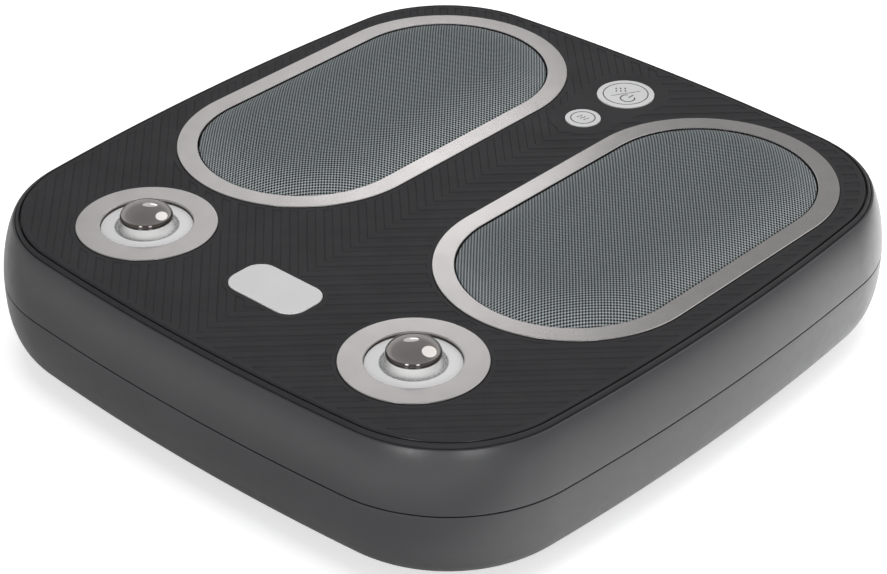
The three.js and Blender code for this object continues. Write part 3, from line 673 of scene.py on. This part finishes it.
def white_with_groove_shade():
    """White plastic of the studs' dishes, with painted shade as a dark speckle in the groove round
    the stem, and the stem painted whiter than the rest of the dish as painted light.
    """
    made = Finish("white_plastic", Subsurface_Weight=0.15, Subsurface_Scale=0.002,
                  Subsurface_Radius=(1, 1, 1))
    stud_x, stud_y = spot("right_stud_dish")
    x, y, _ = made.axes()
    across = made.math("SUBTRACT", made.math("ABSOLUTE", x), stud_x)
    along = made.math("SUBTRACT", y, stud_y)
    square = made.math("ADD", made.times(across, across), made.times(along, along))
    radius = made.math("SQRT", square)
    # painted shade: a dark speckle fills the groove between the stem and the lip
    inner = made.spread(radius, 0, 1, STEM_RADIUS + 0.0003, GROOVE_RADIUS - 0.0004)
    outer = made.spread(radius, 1, 0, LIP_RADIUS - 0.0003, LIP_RADIUS + 0.0001)
    shade_speck = made.spread(made.noise(0.0005), 0.25, 1, 0.43, 0.57)
    grain = made.times(made.times(inner, outer), shade_speck)
    # painted light: the stem is whiter than the rest of the dish, for the light it catches
    off_lit_stem = made.spread(radius, 0, 1, STEM_RADIUS + 0.001, STEM_RADIUS + 0.003)
    white = made.mixed(off_lit_stem, linear(250, 250, 249), linear(218, 218, 219))
    made.colour(made.mixed(grain, white, linear(112, 112, 114)))
    made.roughness(made.uneven(GLOSS_SIZE, 0.4, 0.5, detail=3))
    made.bump(made.noise(0.0008, 3), 0.00003)
    return made.material


def circuit_board():
    """Green lacquer over broken copper tracks."""
    made = Finish("board_lacquer")
    broken = made.spread(made.noise(0.009, 1), 0, 1, 0.48, 0.52)
    rows = made.wave(made.axes()["X"], TRACK_PITCH)
    track = made.times(made.spread(rows, 0, 1, 0.3, 0.5), broken)
    made.colour(made.mixed(track, linear(22, 84, 48), linear(66, 134, 74)))
    made.roughness(made.spread(track, 0.32, 0.45, 0, 1))
    made.bump(track, 0.00004)
    return made.material


def finishes():
    """A material for each of the record's slots."""
    return {
        "housing": moulded("housing_plastic", (44, 44, 47), (48, 48, 51), (0.32, 0.38),
                           0.0005, 0.000008, IOR=1.9),
        "rim": moulded("rim_rubber", (38, 38, 40), (43, 43, 45), (0.5, 0.6), 0.0006, 0.00002),
        "panel": panel_plastic(),
        "silver_trim": trim_paint(),
        "mesh": mesh_fabric(),
        "white_plastic": white_with_groove_shade(),
        "stud_chrome": chrome(),
        "button": moulded("button_plastic", (205, 205, 206), (211, 211, 212), (0.4, 0.48),
                          0.0005, 0.00001),
        "foot_rubber": speckled("foot_rubber", (24, 24, 25), (36, 36, 37), (0.8, 0.95), 0.0005),
        "screw_steel": brushed("screw_steel", (150, 150, 152), (178, 178, 180), (0.28, 0.42),
                               1.0, (1, 1, 12)),
        "black_plastic": moulded("black_plastic", (20, 20, 21), (28, 28, 29), (0.42, 0.55),
                                 0.0006, 0.00002),
        "lead": speckled("lead_insulation", (16, 16, 17), (24, 24, 25), (0.5, 0.62), 0.0008),
        "board": circuit_board(),
        "film": brushed("heater_film", (168, 98, 38), (192, 118, 52), (0.42, 0.52),
                        0.3, (9, 1, 1)),
        "drive_frame": moulded("frame_plastic", (40, 40, 44), (50, 50, 54), (0.5, 0.62),
                               0.0012, 0.00005),
        "nylon": moulded("gear_nylon", (226, 220, 205), (236, 231, 218), (0.38, 0.5),
                         0.0009, 0.00003, Subsurface_Weight=0.2, Subsurface_Scale=0.003),
        "motor_steel": brushed("motor_steel", (148, 149, 152), (170, 171, 174), (0.3, 0.42),
                               1.0, (14, 1, 1)),
        "gear_steel": brushed("gear_steel", (138, 138, 142), (165, 165, 168), (0.26, 0.4),
                              1.0, (1, 1, 9)),
        "head_rubber": speckled("head_rubber", (128, 40, 36), (148, 52, 46), (0.55, 0.7), 0.0009),
    }


def ink():
    """The grey that lies in the engraved marks."""
    made = Finish("mark_ink")
    made.colour(made.shades(0.0006, (84, 83, 82), (98, 97, 96)))
    made.roughness(made.uneven(0.0004, 0.5, 0.65))
    return made.material


# Shells


def lower_shell():
    """The bottom shell: the wall's curve, the seam's edge and a tongue inside the seam."""
    outer = wall_line(-UNDERSIDE_INSET, WALL_FLARE, UNDERSIDE, SEAM_BOTTOM, LOWER_BULGE)
    tongue = WALL_FLARE - WALL - TONGUE_GAP
    tongue_top = SEAM_BOTTOM + TONGUE_HEIGHT
    section = outer[:-1] + rounded([
        outer[-2],
        (WALL_FLARE, SEAM_BOTTOM, SEAM_ROUND),
        (tongue, SEAM_BOTTOM),
        (tongue, tongue_top),
    ])[1:]
    inside = tongue - TONGUE_WALL
    hollow = wall_line(-UNDERSIDE_INSET - FLOOR_EDGE_INSET, inside, UNDERSIDE + WALL,
                       SEAM_BOTTOM, LOWER_BULGE)
    hollow.append((inside, tongue_top + OVERRUN))
    piece = swept("lower_housing_shell", section, body_outline)
    cut(piece, swept("hollow", hollow, body_outline))
    inlet(piece)
    screw_wells(piece)
    return smooth(piece, 30, weighted=False)


def inlet(shell):
    """A block inside the rear wall, the recess in it and the hole for the jack."""
    low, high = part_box("dc_socket")
    floor, wall = high.y, HALF_DEPTH + WALL_FLARE
    half_x, half_z = INLET_WIDTH / 2, INLET_HEIGHT / 2
    block = rounded_box(half_x + WALL, half_z + WALL, INLET_BLOCK_CORNER)
    recess = rounded_box(half_x, half_z, INLET_CORNER)
    jack = rounded_box((high.x - low.x) / 2 + GAP, (high.z - low.z) / 2 + GAP, JACK_HOLE_CORNER)
    for outline, front, back, operation in (
        (block, floor - INLET_BLOCK_DEPTH, wall - INLET_BLOCK_SHY, "UNION"),
        (recess, floor, wall + OVERRUN, "DIFFERENCE"),
        (jack, floor - JACK_DEPTH, floor + OVERRUN, "DIFFERENCE"),
    ):
        tool = prism("inlet", outline, 0, 1)
        lay_down(tool, front, back, (low.z + high.z) / 2)
        boolean(shell, tool, operation)


def screw_wells(shell):
    """Four bosses, with stepped wells for the screws and the feet's plugs."""
    wells = []
    for index in range(1, 5):
        at = spot(f"housing_screw_{index}")
        radius = WELL_RADIUS + BOSS_WALL
        boss = swept("boss", [(radius, UNDERSIDE + WALL / 2), (radius, BOSS_TOP)], ring, at)
        boolean(shell, boss, "UNION")
        wells.append(swept("well", [
            (WELL_RADIUS, UNDERSIDE - OVERRUN),
            (WELL_RADIUS, SCREW_SEAT),
            (SCREW_BORE, SCREW_SEAT),
            (SCREW_BORE, BOSS_TOP + OVERRUN),
        ], ring, at))
    cut(shell, *wells)


def upper_shell():
    """The wall above the seam, the lip, the channel that holds the bead, and the deck."""
    seam = SEAM_BOTTOM + SEAM_GAP
    start = TRIM_TOP - WALL_START_DROP
    deck_top = PANEL_BOTTOM - GAP
    deck_bottom = deck_top - DECK
    outer = wall_line(WALL_START, WALL_FLARE, start, seam, UPPER_BULGE, LIP_TOP)[::-1]
    channel = RIM_WIDTH + GAP
    section = rounded([
        (WALL_FLARE - SEAM_LAND, seam),
        (WALL_FLARE, seam, SEAM_ROUND),
        outer[1],
    ])[:-1] + outer[1:-1] + rounded([
        outer[-2],
        (outer[-1][0], LIP_TOP, LIP_ROUND),
        (channel, LIP_TOP, LIP_ROUND / 2),
        (channel, deck_top),
    ], steps=8)[1:]
    inner = wall_line(WALL_START - WALL, WALL_FLARE - WALL, start, seam - OVERRUN,
                      UPPER_BULGE, deck_bottom)
    piece = swept("upper_housing_shell", section, body_outline)
    cut(piece, swept("hollow", inner[::-1], body_outline))
    openings = [*beds_and_studs(COVER_OUTER, DISH_BODY)]
    for node in ("power_button", "heat_button"):
        openings.append((ring, half_width(node), spot(node)))
    cuts = []
    for outline, size, at in openings:
        levels = [(size + GAP, deck_bottom - OVERRUN), (size + GAP, deck_top + OVERRUN)]
        cuts.append(swept("opening", levels, outline, at))
    cut(piece, *cuts)
    return smooth(piece, 30, weighted=False)


def rim_bead():
    """The soft bead: square in its channel, with a rounded crest."""
    crest = [(offset, LIP_TOP + (RIM_CREST - LIP_TOP) * rise) for offset, rise in BEAD]
    section = [(0, RIM_BOTTOM), (RIM_WIDTH, RIM_BOTTOM)]
    section += flowing([(RIM_WIDTH, LIP_TOP - BEAD_START_DROP)] + crest, 5)
    return smooth(swept("top_rim_bead", section, body_outline, closed=True), 40, weighted=False)


# Panel


def chevron_strips():
    """The grooves as V strips across the whole panel, each with a fine score on its near side."""
    floor, above = PANEL_TOP - CHEVRON_DEPTH, PANEL_TOP + OVERRUN
    first = math.floor((-HALF_WIDTH - HALF_DEPTH - CHEVRON_START) / CHEVRON_PITCH)
    last = math.ceil((HALF_DEPTH - CHEVRON_START) / CHEVRON_PITCH)
    strips = []
    for index in range(first, last + 1):
        far = CHEVRON_START + index * CHEVRON_PITCH
        near = far - CHEVRON_WIDTH
        section = [
            (near - SCORE_WIDTH, PANEL_TOP),
            (near - SCORE_WIDTH / 2, PANEL_TOP - SCORE_DEPTH),
            (near, PANEL_TOP - SCORE_DEPTH / 6),
            (near + CHEVRON_LEAN, floor),
            (far - CHEVRON_LEAN, floor),
            (far, PANEL_TOP),
            (far, above),
            (near - SCORE_WIDTH, above),
        ]
        points = [(x, y + abs(x), z) for x in (-HALF_WIDTH, 0, HALF_WIDTH) for y, z in section]
        sides = len(section)
        faces = [tuple(range(sides)), tuple(range(3 * sides - 1, 2 * sides - 1, -1))]
        for start in (0, sides):
            for i in range(sides):
                here, after = start + i, start + (i + 1) % sides
                faces.append((here, here + sides, after + sides, after))
        strips.append(mesh_object("strip", points, faces))
    return joined("strips", strips)


def chevrons():
    """The panel's grooves, cut off round what stands in it."""
    floor = PANEL_TOP - CHEVRON_DEPTH
    strips = chevron_strips()

    def frustum(outline, base, way, low, high, at=(0, 0)):
        """A block whose sides lean where the grooves' ends rise to the panel's face."""
        return swept("block", [
            (base + way * CHEVRON_RUNOUT, low),
            (base + way * CHEVRON_RUNOUT, floor),
            (base, PANEL_TOP),
            (base, high),
        ], outline, at)

    field = frustum(body_outline, -PANEL_GAP - CHEVRON_MARGIN, -1,
                    floor - OVERRUN, PANEL_TOP + OVERRUN / 2)
    islands = [(egg_outline, 0, (0, 0)), (plate_outline, 0, spot("badge_plate"))]
    islands += beds_and_studs(TRIM_OUTER, STUD_TRIM_OUTER)
    cut(field, *[
        frustum(outline, size + CHEVRON_CLEARANCE, 1,
                floor - 2 * OVERRUN, PANEL_TOP + 2 * OVERRUN, at)
        for outline, size, at in islands
    ])
    boolean(field, strips, "INTERSECT")
    return field


def top_panel():
    edge = -PANEL_GAP
    section = rounded([
        (edge - PANEL_CHAMFER, PANEL_BOTTOM),
        (edge, PANEL_BOTTOM + PANEL_CHAMFER),
        (edge, PANEL_TOP, PANEL_ROUND),
        (edge - 2 * PANEL_ROUND, PANEL_TOP),
    ], steps=9)
    piece = swept("top_panel_plate", section, body_outline)
    under, over = PANEL_BOTTOM - OVERRUN, PANEL_TOP + OVERRUN
    ledge = TRIM_TOP - TRIM_THICKNESS - GAP
    seats = []
    for outline, size, at in beds_and_studs(TRIM_OUTER + GAP, STUD_TRIM_OUTER + GAP):
        seats.append(swept("seat", [
            (size - TRIM_LEDGE, under),
            (size - TRIM_LEDGE, ledge),
            (size, ledge),
            (size, PANEL_TOP - SEAT_ROUND),
            (size + SEAT_ROUND * 0.3, PANEL_TOP - SEAT_ROUND * 0.3),
            (size + SEAT_ROUND, PANEL_TOP),
            (size + SEAT_ROUND, over),
        ], outline, at))
    for node, radius in (("power_button", POWER_RADIUS), ("heat_button", HEAT_RADIUS)):
        seats.append(swept("hole", [(radius + GAP, under), (radius + GAP, over)], ring, spot(node)))
    pocket_floor = heights("badge_plate")[0] - GAP
    seats.append(prism("pocket", plate_outline(GAP), pocket_floor, over, spot("badge_plate")))
    cut(piece, *seats)
    dish = [(-EGG_SLOPE, PANEL_TOP - EGG_DEPTH), (0, PANEL_TOP), (OVERRUN, over)]
    cut(piece, swept("egg", dish, egg_outline))
    boolean(piece, chevrons(), "DIFFERENCE")
    return smooth(piece)


# Beds and studs


def trim(node, outline, outer, inner, skirt):
    """A flat frame round a bed or a stud, with a skirt inside its opening."""
    bottom = heights(node)[0]
    section = rounded([
        (inner, bottom, TRIM_BEVEL),
        (inner + skirt, bottom, TRIM_BEVEL),
        (inner + skirt, TRIM_TOP - TRIM_THICKNESS),
        (outer, TRIM_TOP - TRIM_THICKNESS),
        (outer, TRIM_TOP, TRIM_BEVEL),
        (inner, TRIM_TOP, TRIM_BEVEL),
    ], steps=5, closed=True)
    return smooth(swept(f"{node}_ring", section, outline, spot(node), closed=True))


def mesh_pad(node):
    """The padded cover: a border tucked under the trim, a rounded shoulder and a broad crown."""
    edge = TRIM_INNER - COVER_EDGE_INSET
    shoulder = TRIM_TOP - COVER_SHOULDER_DROP
    border = COVER_BASE + COVER_EDGE
    section = rounded([
        (COVER_OUTER - COVER_ROUND * 1.2, COVER_BASE),
        (COVER_OUTER, COVER_BASE, COVER_ROUND),
        (COVER_OUTER, border, COVER_ROUND),
        (edge, border, 2 * COVER_ROUND),
        (edge, shoulder),
    ], steps=3)
    for way_in in np.linspace(0.02, 1, CROWN_STEPS) ** 1.5:
        rise = 1 - (1 - min(way_in / COVER_RISE_SHARE, 1)) ** 2
        section.append((edge * max(1 - way_in, 0.002), shoulder + (COVER_CROWN - shoulder) * rise))
    return smooth(swept(f"{node}_pad", section, stadium, spot(node)), 50, weighted=False)


def stud_dish(node):
    """The dish inside the trim, its groove and the flared stem that carries the cap."""
    top = STUD_SKIRT_BOTTOM - GAP
    border = STUD_TRIM_INNER - GAP
    lip = TRIM_TOP - LIP_DROP
    groove = TRIM_TOP - GROOVE_DROP
    lift = lip - groove
    inward = GROOVE_RADIUS - STEM_RADIUS
    flange = STUD_TRIM_OUTER - TRIM_LEDGE
    bowl = flowing([
        (border, TRIM_TOP - BOWL_DROP),
        ((border + LIP_RADIUS) / 2, lip - (BOWL_DROP - LIP_DROP) * 0.45),
        (LIP_RADIUS + 0.001, lip),
        (LIP_RADIUS, lip - lift * 0.08),
        (LIP_RADIUS - 0.0007, lip - lift * 0.6),
        (GROOVE_RADIUS, groove),
        (GROOVE_RADIUS - inward * 0.5, groove + lift * 0.22),
        (GROOVE_RADIUS - inward * 0.85, groove + lift * 0.8),
        (STEM_RADIUS, groove + lift * 1.6),
    ], 7)
    section = [
        (STEM_BORE, STEM_BOTTOM),
        (STEM_RADIUS, STEM_BOTTOM),
        (STEM_RADIUS, DISH_BOTTOM),
        (DISH_BODY - WALL, DISH_BOTTOM),
        (DISH_BODY, DISH_BOTTOM + WALL),
        (DISH_BODY, top - DISH_FLANGE),
        (flange, top - DISH_FLANGE),
        (flange, top),
        (border, top),
        *bowl,
        (STEM_RADIUS, STEM_TOP - STEM_CHAMFER),
        (STEM_RADIUS - STEM_CHAMFER, STEM_TOP),
        (STEM_BORE, STEM_TOP),
    ]
    return smooth(swept(f"{node}_bowl", section, ring, spot(node), closed=True), 40)


def stud_cap(node):
    """A low dome with a tail in the stem's bore."""
    base = STEM_TOP + GAP
    height = CAP_TOP - base - CAP_LAND
    dome = [(CAP_RADIUS * math.cos(angle), base + CAP_LAND + height * math.sin(angle))
            for angle in np.linspace(0, math.pi / 2, DOME_STEPS)[:-1]]
    tail = STEM_BORE - GAP
    section = [
        (0, CAP_BOTTOM),
        (tail, CAP_BOTTOM),
        (tail, base),
        (CAP_RADIUS - 0.0005, base),
        (CAP_RADIUS - 0.00015, base + 0.0001),
        *dome,
        (0, CAP_TOP),
    ]
    return smooth(swept(f"{node}_dome", section, ring, spot(node)), 50, weighted=False)


# Buttons and plate


def stroke(line, width, bottom, top):
    """A mark of that width along a line, with square ends, to cut into a face."""
    ways = np.gradient(line, axis=0)
    ways /= np.linalg.norm(ways, axis=1)[:, None]
    aside = np.stack([-ways[:, 1], ways[:, 0]], 1) * width / 2
    outline = np.concatenate([line - aside, (line + aside)[::-1]])
    return prism("stroke", outline, bottom, top)


def power_marks():
    """A power sign on one side of a slanting line and two rows of short marks on the other."""
    sign, radius, opening = np.array([0.0041, -0.0034]), 0.0039, math.radians(38)
    circle = arc(sign, radius, math.pi / 2 + opening, 2.5 * math.pi - opening, 40, last=True)
    bar = [sign + (0, radius * share) for share in (0.25, 0.7, 1.25)]
    slant, half_length = math.radians(59), 0.0085
    way = np.array([math.cos(slant), math.sin(slant)])
    divider = [way * half_length * t + (-0.0002, 0.0002) for t in (-1, 0, 1)]
    lines = [(circle, BOLD), (bar, BOLD), (divider, STROKE)]
    rows_middle, column_pitch, row_offset, half_mark = (-0.0049, 0.0018), 0.0025, 0.0014, 0.0008
    across, along = np.array([0.74, 0.67]), np.array([-0.67, 0.74])
    for row in (-1, 1):
        for column in (-1, 0, 1):
            middle = rows_middle + across * column * column_pitch + along * row * row_offset
            lines.append(([middle + along * half_mark * t for t in (-1, 0, 1)], BOLD))
    return lines


def heat_marks():
    """Three wavy lines, for rising heat."""
    pitch, swing, half_height = 0.0023, 0.00045, 0.0019
    lines = []
    for column in (-1, 0, 1):
        along = np.linspace(-1, 1, 25)
        across = column * pitch + swing * np.sin(along * math.pi)
        lines.append((np.stack([across, along * half_height], 1), STROKE))
    return lines


def button(node, radius, ring_radius, marks, plastic, marking):
    """A round button with a rounded edge, an engraved ring and engraved marks."""
    at, flange = spot(node), half_width(node)
    bottom, top = heights(node)
    flange_top = PANEL_BOTTOM - GAP
    flange_bottom = flange_top - BUTTON_FLANGE
    sunk = top - ENGRAVING
    section = rounded([
        (0, bottom),
        (BUTTON_STEM, bottom),
        (BUTTON_STEM, flange_bottom),
        (flange, flange_bottom),
        (flange, flange_top),
        (radius, flange_top),
        (radius, top, BUTTON_ROUND),
        (ring_radius + STROKE / 2 + ENGRAVING * 0.4, top),
        (ring_radius + STROKE / 2, sunk),
        (ring_radius - STROKE / 2, sunk),
        (ring_radius - STROKE / 2 - ENGRAVING * 0.4, top),
        (0, top),
    ], steps=7)
    piece = swept(f"{node}_key", section, ring, at)
    for material in (plastic, marking):
        piece.data.materials.append(material)
    for line, width in marks:
        cut(piece, stroke(np.array(line) + at, width, sunk, top + OVERRUN))
    for face in piece.data.polygons:
        reach = math.hypot(face.center.x - at[0], face.center.y - at[1])
        depth = (top - face.center.z) / ENGRAVING
        if reach < ring_radius + STROKE and 0.01 < depth < 1.01:
            face.material_index = 1
    return smooth(piece)


def badge():
    """The bare plate, with a rounded upper edge."""
    bottom, top = heights("badge_plate")
    section = rounded([(0, bottom), (0, top, PLATE_ROUND), (-2 * PLATE_ROUND, top)])
    return smooth(swept("badge_plate_face", section, plate_outline, spot("badge_plate")))


# Underside and inlet


def foot(node):
    """A rubber foot with two ring grooves in its sole, and its plug."""
    radius, plug = half_width(node), WELL_RADIUS - GAP
    top = heights(node)[1]
    section = [(0, 0)]
    for share in SOLE_GROOVES:
        for side, depth in ((-1, 0), (-0.5, SOLE_GROOVE_DEPTH), (0.5, SOLE_GROOVE_DEPTH), (1, 0)):
            section.append((radius * share + side * SOLE_GROOVE_WIDTH, depth))
    section += rounded([
        (radius * 0.8, 0),
        (radius - FOOT_BEVEL, 0, FOOT_ROUND),
        (radius, FOOT_BEVEL, FOOT_ROUND),
        (radius, UNDERSIDE - GAP, FOOT_ROUND / 2),
        (plug, UNDERSIDE - GAP),
        (plug, top, FOOT_ROUND),
        (0, top),
    ], steps=4)[1:]
    return smooth(swept(f"{node}_pad", section, ring, spot(node)))


def socket():
    """The power inlet: a block with a round bore and the centre pin in it."""
    low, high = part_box("dc_socket")
    block = rounded_box((high.x - low.x) / 2, (high.z - low.z) / 2, JACK_CORNER)
    body = prism("dc_socket_jack", block, 0, 1)
    bore = swept("bore", JACK_BORE, ring)
    pin = swept("pin", JACK_PIN, ring)
    for piece in (body, bore, pin):
        lay_down(piece, low.y, high.y, (low.z + high.z) / 2)
    boolean(body, bore, "DIFFERENCE")
    boolean(body, pin, "UNION")
    return smooth(body)


# Stage


def surround():
    """White to the camera; for light and gloss, grey that is darker overhead."""
    world = bpy.data.worlds.new("surround")
    bpy.context.scene.world = world
    made = Nodes(world, "Generated")
    ramp = made.node("ValToRGB", {"Fac": made.spread(made.axes()["Z"], 0, 1, -1, 1)})
    stops = ramp.color_ramp.elements
    for index, (at, level) in enumerate(SKY):
        share = (at + 1) / 2
        stop = stops[index] if index < 2 else stops.new(share)
        stop.position = share
        stop.color = (level, level, level, 1)
    path = made.node("LightPath")
    shown = made.mixed(path.outputs["Is Camera Ray"], ramp.outputs["Color"], (1, 1, 1, 1))
    made.link(shown, made.tree.nodes["Background"].inputs["Color"])


def floor_paper():
    """White paper, lit to white where the camera sees it. Gloss sees a painted pool of light
    beside the massager's right side, and painted shade in front of it."""
    made = Finish("floor_paper", Roughness=0.9)
    path = made.node("LightPath")
    glossy = path.outputs["Is Glossy Ray"]
    y = made.axes()["Y"]

    paper = made.mixed(made.noise(0.2), (0.86, 0.86, 0.86, 1), (0.88, 0.88, 0.88, 1))
    # painted shade: gloss sees the floor darker in front of the massager
    shade = made.times(made.spread(y, 0, FLOOR_DARK, *FLOOR_SHADE[:2]),
                       made.spread(y, 1, FLOOR_LIGHTER, *FLOOR_SHADE[2:]))
    made.colour(made.mixed(made.times(shade, glossy), paper, (0, 0, 0, 1)))

    # painted light: a pool that only gloss sees on the floor, strongest beside the right side
    first, last = FLOOR_LIGHT_POOL[0], FLOOR_LIGHT_POOL[-1]
    light_pool = made.node("FloatCurve", {"Value": made.spread(y, 0, 1, first[0], last[0])})
    curve = light_pool.mapping.curves[0]
    curve.points[0].location = (0, first[1] / last[1])
    curve.points[1].location = (1, 1)
    for at, level in FLOOR_LIGHT_POOL[1:-1]:
        curve.points.new((at - first[0]) / (last[0] - first[0]), level / last[1])
    light_pool.mapping.update()
    reached = made.node("VectorMath", {0: made.place, 1: LIGHT_POOL_REACH}, operation="MULTIPLY")
    away = made.node("VectorMath", {0: reached.outputs["Vector"]}, operation="LENGTH")
    strongest = made.spread(away.outputs["Value"], last[1], 0, *LIGHT_POOL_FADE)
    in_gloss = made.times(made.times(light_pool.outputs["Value"], strongest), glossy)

    to_camera = made.times(path.outputs["Is Camera Ray"], FLOOR_GLOW)
    glow = made.node("Emission", {"Color": (1, 1, 1, 1),
                                  "Strength": made.math("ADD", to_camera, in_gloss)})
    both = made.node("AddShader", {0: made.shader.outputs["BSDF"], 1: glow.outputs["Emission"]})
    made.link(both.outputs["Shader"], made.tree.nodes["Material Output"].inputs["Surface"])
    return made.material


def floor():
    corners = [(-1, -1), (1, -1), (1, 1), (-1, 1)]
    points = [(FLOOR_REACH * x, FLOOR_REACH * y, 0) for x, y in corners]
    paper = mesh_object("floor", points, [(0, 1, 2, 3)])
    paper.data.materials.append(floor_paper())


def aimed(name, data, azimuth, elevation, distance, target=(0, 0, 0)):
    """A lamp or camera that looks at a target. The azimuth is from +X, in degrees."""
    turn, rise = math.radians(azimuth), math.radians(elevation)
    way = Vector((math.cos(turn) * math.cos(rise), math.sin(turn) * math.cos(rise),
                  math.sin(rise)))
    made = placed(name, data)
    made.location = Vector(target) + way * distance
    made.rotation_euler = way.to_track_quat("Z", "Y").to_euler()
    return made


def lamps():
    """Soft elliptical lamps. Some light the massager but don't show in its gloss."""
    for name, azimuth, elevation, distance, width, height, radiance, glossy in LAMPS:
        light = bpy.data.lights.new(name, "AREA")
        light.shape = "ELLIPSE"
        light.size = width
        light.size_y = height
        light.energy = radiance * math.pi * math.pi / 4 * width * height
        aimed(name, light, azimuth, elevation, distance).visible_glossy = glossy


def camera():
    data = bpy.data.cameras.new("camera")
    data.sensor_width = 36
    data.lens = CAMERA_LENS
    bpy.context.scene.camera = aimed("camera", data, CAMERA_AZIMUTH, CAMERA_ELEVATION,
                                     CAMERA_DISTANCE, CAMERA_TARGET)


def massager():
    """Every piece, with the material of its node's slot and its body; the node it stands for is
    hidden.
    """
    materials = finishes()
    slots = {}
    for entry in frame["record"]["subparts"]:
        slot = slots[entry["node"]] = entry["material_slot"]
        worn = frame["nodes"][entry["node"]].data.materials
        worn.clear()
        worn.append(materials[slot])

    def dress(piece, node, body="body"):
        if not piece.data.materials:
            piece.data.materials.append(materials[slots[node]])
        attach(piece, body)
        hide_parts(node)
        return piece

    dress(lower_shell(), "lower_housing")
    dress(upper_shell(), "upper_housing")
    dress(rim_bead(), "top_rim")
    dress(top_panel(), "top_panel")
    dress(badge(), "badge_plate")
    dress(socket(), "dc_socket")
    for index in range(1, 5):
        node = f"rubber_foot_{index}"
        dress(foot(node), node)
    for side in ("left", "right"):
        node = f"{side}_window_trim"
        dress(trim(node, stadium, TRIM_OUTER, TRIM_INNER, SKIRT_WALL), node)
        node = f"{side}_mesh_cover"
        dress(mesh_pad(node), node)
        node = f"{side}_stud_trim"
        dress(trim(node, ring, STUD_TRIM_OUTER, STUD_TRIM_INNER, STUD_SKIRT_WALL), node)
        for build, node in ((stud_dish, f"{side}_stud_dish"), (stud_cap, f"{side}_stud_cap")):
            dress(build(node), node)
    marking = ink()
    for node, radius, ring_radius, marks in (
        ("power_button", POWER_RADIUS, POWER_RING, power_marks()),
        ("heat_button", HEAT_RADIUS, HEAT_RING, heat_marks()),
    ):
        key = button(node, radius, ring_radius, marks, materials["button"], marking)
        dress(key, node, body=node)


camera()
surround()
floor()
lamps()
massager()
bpy.context.scene.view_settings.view_transform = "Standard"
